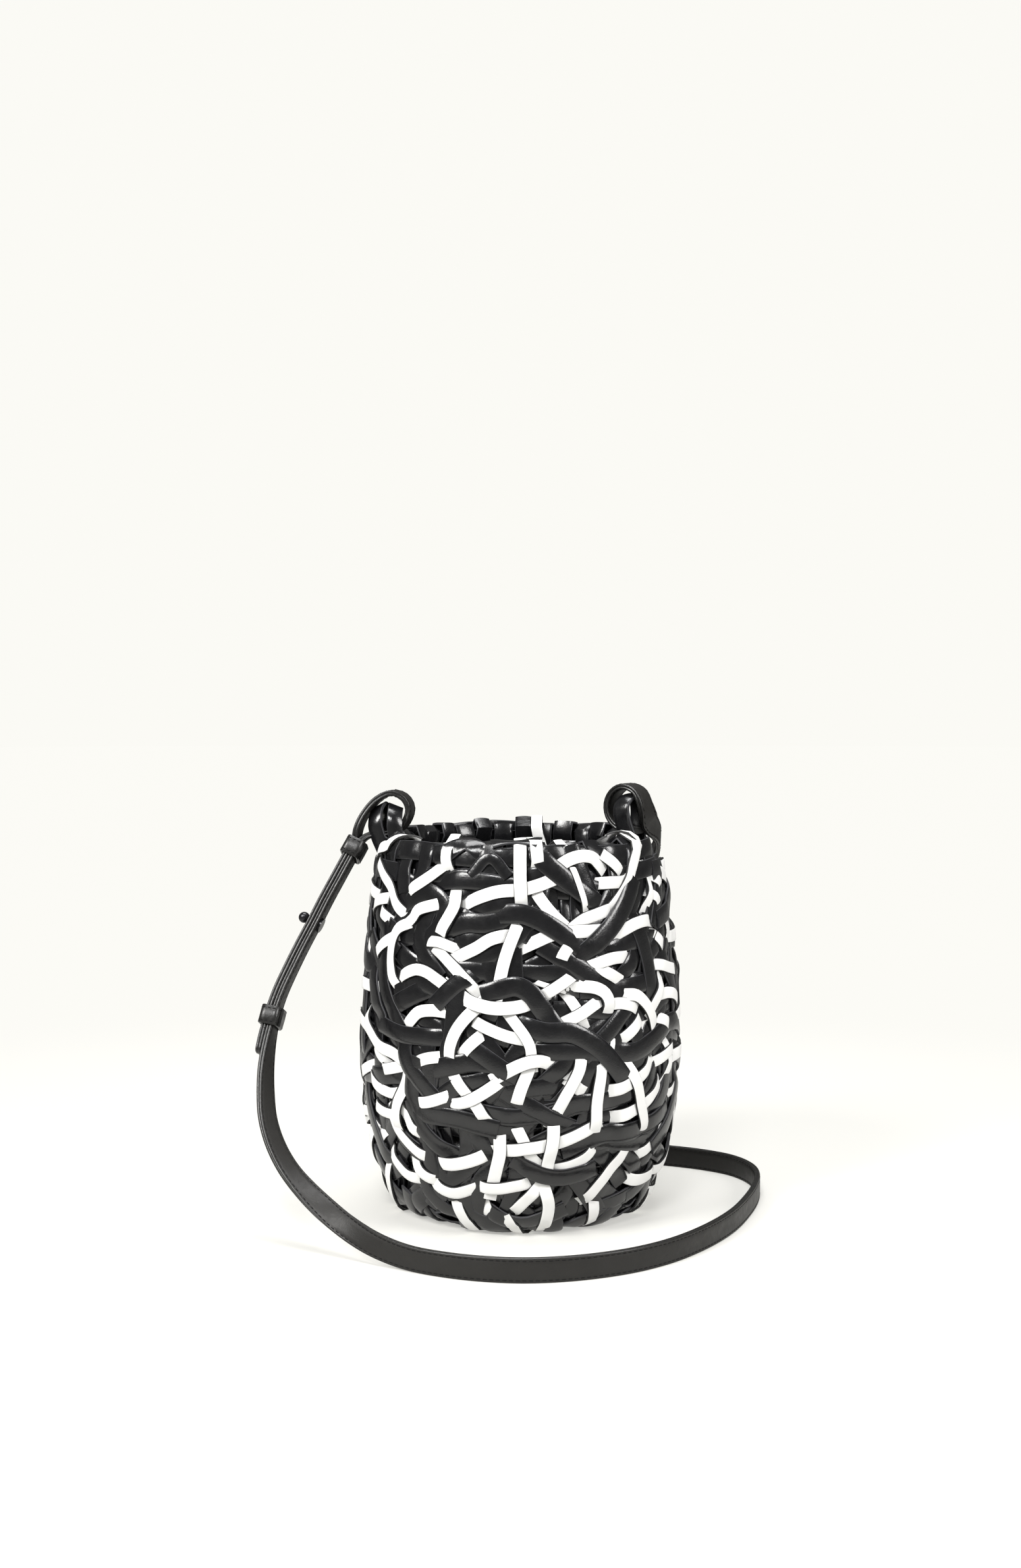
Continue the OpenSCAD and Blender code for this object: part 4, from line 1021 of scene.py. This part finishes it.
def left_loop(name, x, top, facing, lean, tilt):
    """An arch across the rim, its legs running down between the strips. Its crown tilts sideways."""
    turn, radius, legs = np.radians(np.arange(0, 181, 15)), 9, (186, 191, 196, 201)
    c, s = math.cos(math.radians(facing)), math.sin(math.radians(facing))
    y = np.concatenate([[-radius] * 4, -radius * np.cos(turn), [radius] * 4])
    z = np.concatenate([legs, top - radius + radius * np.sin(turn), legs[::-1]])
    rise = np.clip((z - 192) / 20, 0, 1)
    inward = 4.4 * (1 - np.clip((z - 190) / 14, 0, 1))
    line = np.stack([x + inward + lean * rise - y * s * rise, y * (1 - rise) + y * c * rise, z], 1)
    line = curve(line, 3)
    side = np.tile([c, s, tilt], (len(line), 1))
    return arch(name, line, side, 8.2, 2.4)


loop_outer = left_loop("left_loop_band_outer", -76.6, 215.2, -22, 1.2, 0.5)
loop_inner = left_loop("left_loop_band_inner", -68.0, 214.8, 4, -0.6, -0.4)
RIGHT_LOOP = [
    [60, -13.6, 191], [57.8, -13.2, 200], [55, -12.4, 209], [54, -12, 217], [56.5, -9, 222],
    [60, -4.5, 223.4], [63, -0.5, 221.5], [64.2, 2.4, 215], [64, 2.6, 207], [64, 2.6, 197.2],
]
line = curve(RIGHT_LOOP, 6)
out = unit(line - [60, -4.5, 206])
loop_right = arch("right_loop_band", line, np.cross(out, unit(np.gradient(line, axis=0))), 9, 1.2)
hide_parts("left_loop_outer")
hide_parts("left_loop_inner")
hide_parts("right_loop")

# ---- floor, backdrop and light ----

# The floor is a wide sheet of pale paper. It takes shadows round the bag and fades into the plain
# background further out
backdrop = Builder()
turn = np.radians(np.arange(0, 360, 5))
FLOOR_R, FLOOR_Z = 9000, -0.05
around = [[FLOOR_R * math.cos(q), FLOOR_R * math.sin(q), FLOOR_Z] for q in turn]
backdrop.add(around, [list(range(len(turn)))])
floor = backdrop.make("paper_floor", [BLACK])
CREAM = (0.965, 0.957, 0.913)
paper = bpy.data.materials.new("paper")
paper.use_nodes = True
nodes, link = paper.node_tree.nodes, paper.node_tree.links.new
sh = nodes["Principled BSDF"]
put(sh, {"Roughness": 0.9, "Specular IOR Level": 0.1, "Emission Color": (*CREAM, 1)})
away = nodes.new("ShaderNodeVectorMath")
away.operation = "LENGTH"
link(nodes.new("ShaderNodeTexCoord").outputs["Object"], away.inputs[0])


def fade(near, far, lo=0.2, hi=0.75):
    """A value that goes from near to far between two distances from the middle, in metres."""
    f = nodes.new("ShaderNodeMapRange")
    f.interpolation_type = "SMOOTHSTEP"
    put(f, {"From Min": lo, "From Max": hi, "To Min": near, "To Max": far})
    link(away.outputs["Value"], f.inputs["Value"])
    return f.outputs["Result"]


tone = nodes.new("ShaderNodeCombineColor")
for key, v in zip(("Red", "Green", "Blue"), CREAM):
    link(fade(0.42 * v, 0.0), tone.inputs[key])
link(tone.outputs["Color"], sh.inputs["Base Color"])
path, glow = nodes.new("ShaderNodeLightPath"), nodes.new("ShaderNodeMix")
link(path.outputs["Is Camera Ray"], glow.inputs["Factor"])
put(glow, {"A": 0.3})
link(fade(0.42, 1.0), glow.inputs["B"])
link(glow.outputs["Result"], sh.inputs["Emission Strength"])
floor.material_slots[0].material = paper


def softbox(name, at, target, size, power, tint=(1, 1, 1)):
    data = bpy.data.lights.new(name, "AREA")
    data.shape, data.size, data.size_y, data.energy, data.color = "RECTANGLE", size[0], size[1], power, tint
    o = bpy.data.objects.new(name, data)
    bpy.context.scene.collection.objects.link(o)
    o.location = at
    d = np.array(target) - np.array(at)
    o.rotation_euler = (math.acos(-d[2] / np.linalg.norm(d)), 0, math.atan2(d[1], d[0]) - math.pi / 2)
    return o


softbox("key_left", (-1.3, -1.1, 1.3), (0, 0, 0.1), (0.6, 0.9), 46, (1, 0.99, 0.97))
softbox("front_top", (-0.25, -1.2, 1.25), (0, 0, 0.1), (0.34, 0.34), 11)
softbox("fill_right", (1.4, -0.9, 1.0), (0, 0, 0.1), (0.6, 0.9), 26, (1, 0.99, 0.98))
softbox("top", (0, 0.05, 1.7), (0, 0, 0), (1.0, 0.8), 24)
world = bpy.data.worlds.new("studio")
bpy.context.scene.world = world
world.use_nodes = True
nodes, link = world.node_tree.nodes, world.node_tree.links.new
sky = nodes["Background"]
put(sky, {"Color": (*CREAM, 1)})
glow = nodes.new("ShaderNodeMapRange")
put(glow, {"To Min": 0.14, "To Max": 1.0})
link(nodes.new("ShaderNodeLightPath").outputs["Is Camera Ray"], glow.inputs["Value"])
link(glow.outputs["Result"], sky.inputs["Strength"])
bpy.context.scene.view_settings.view_transform = "Standard"

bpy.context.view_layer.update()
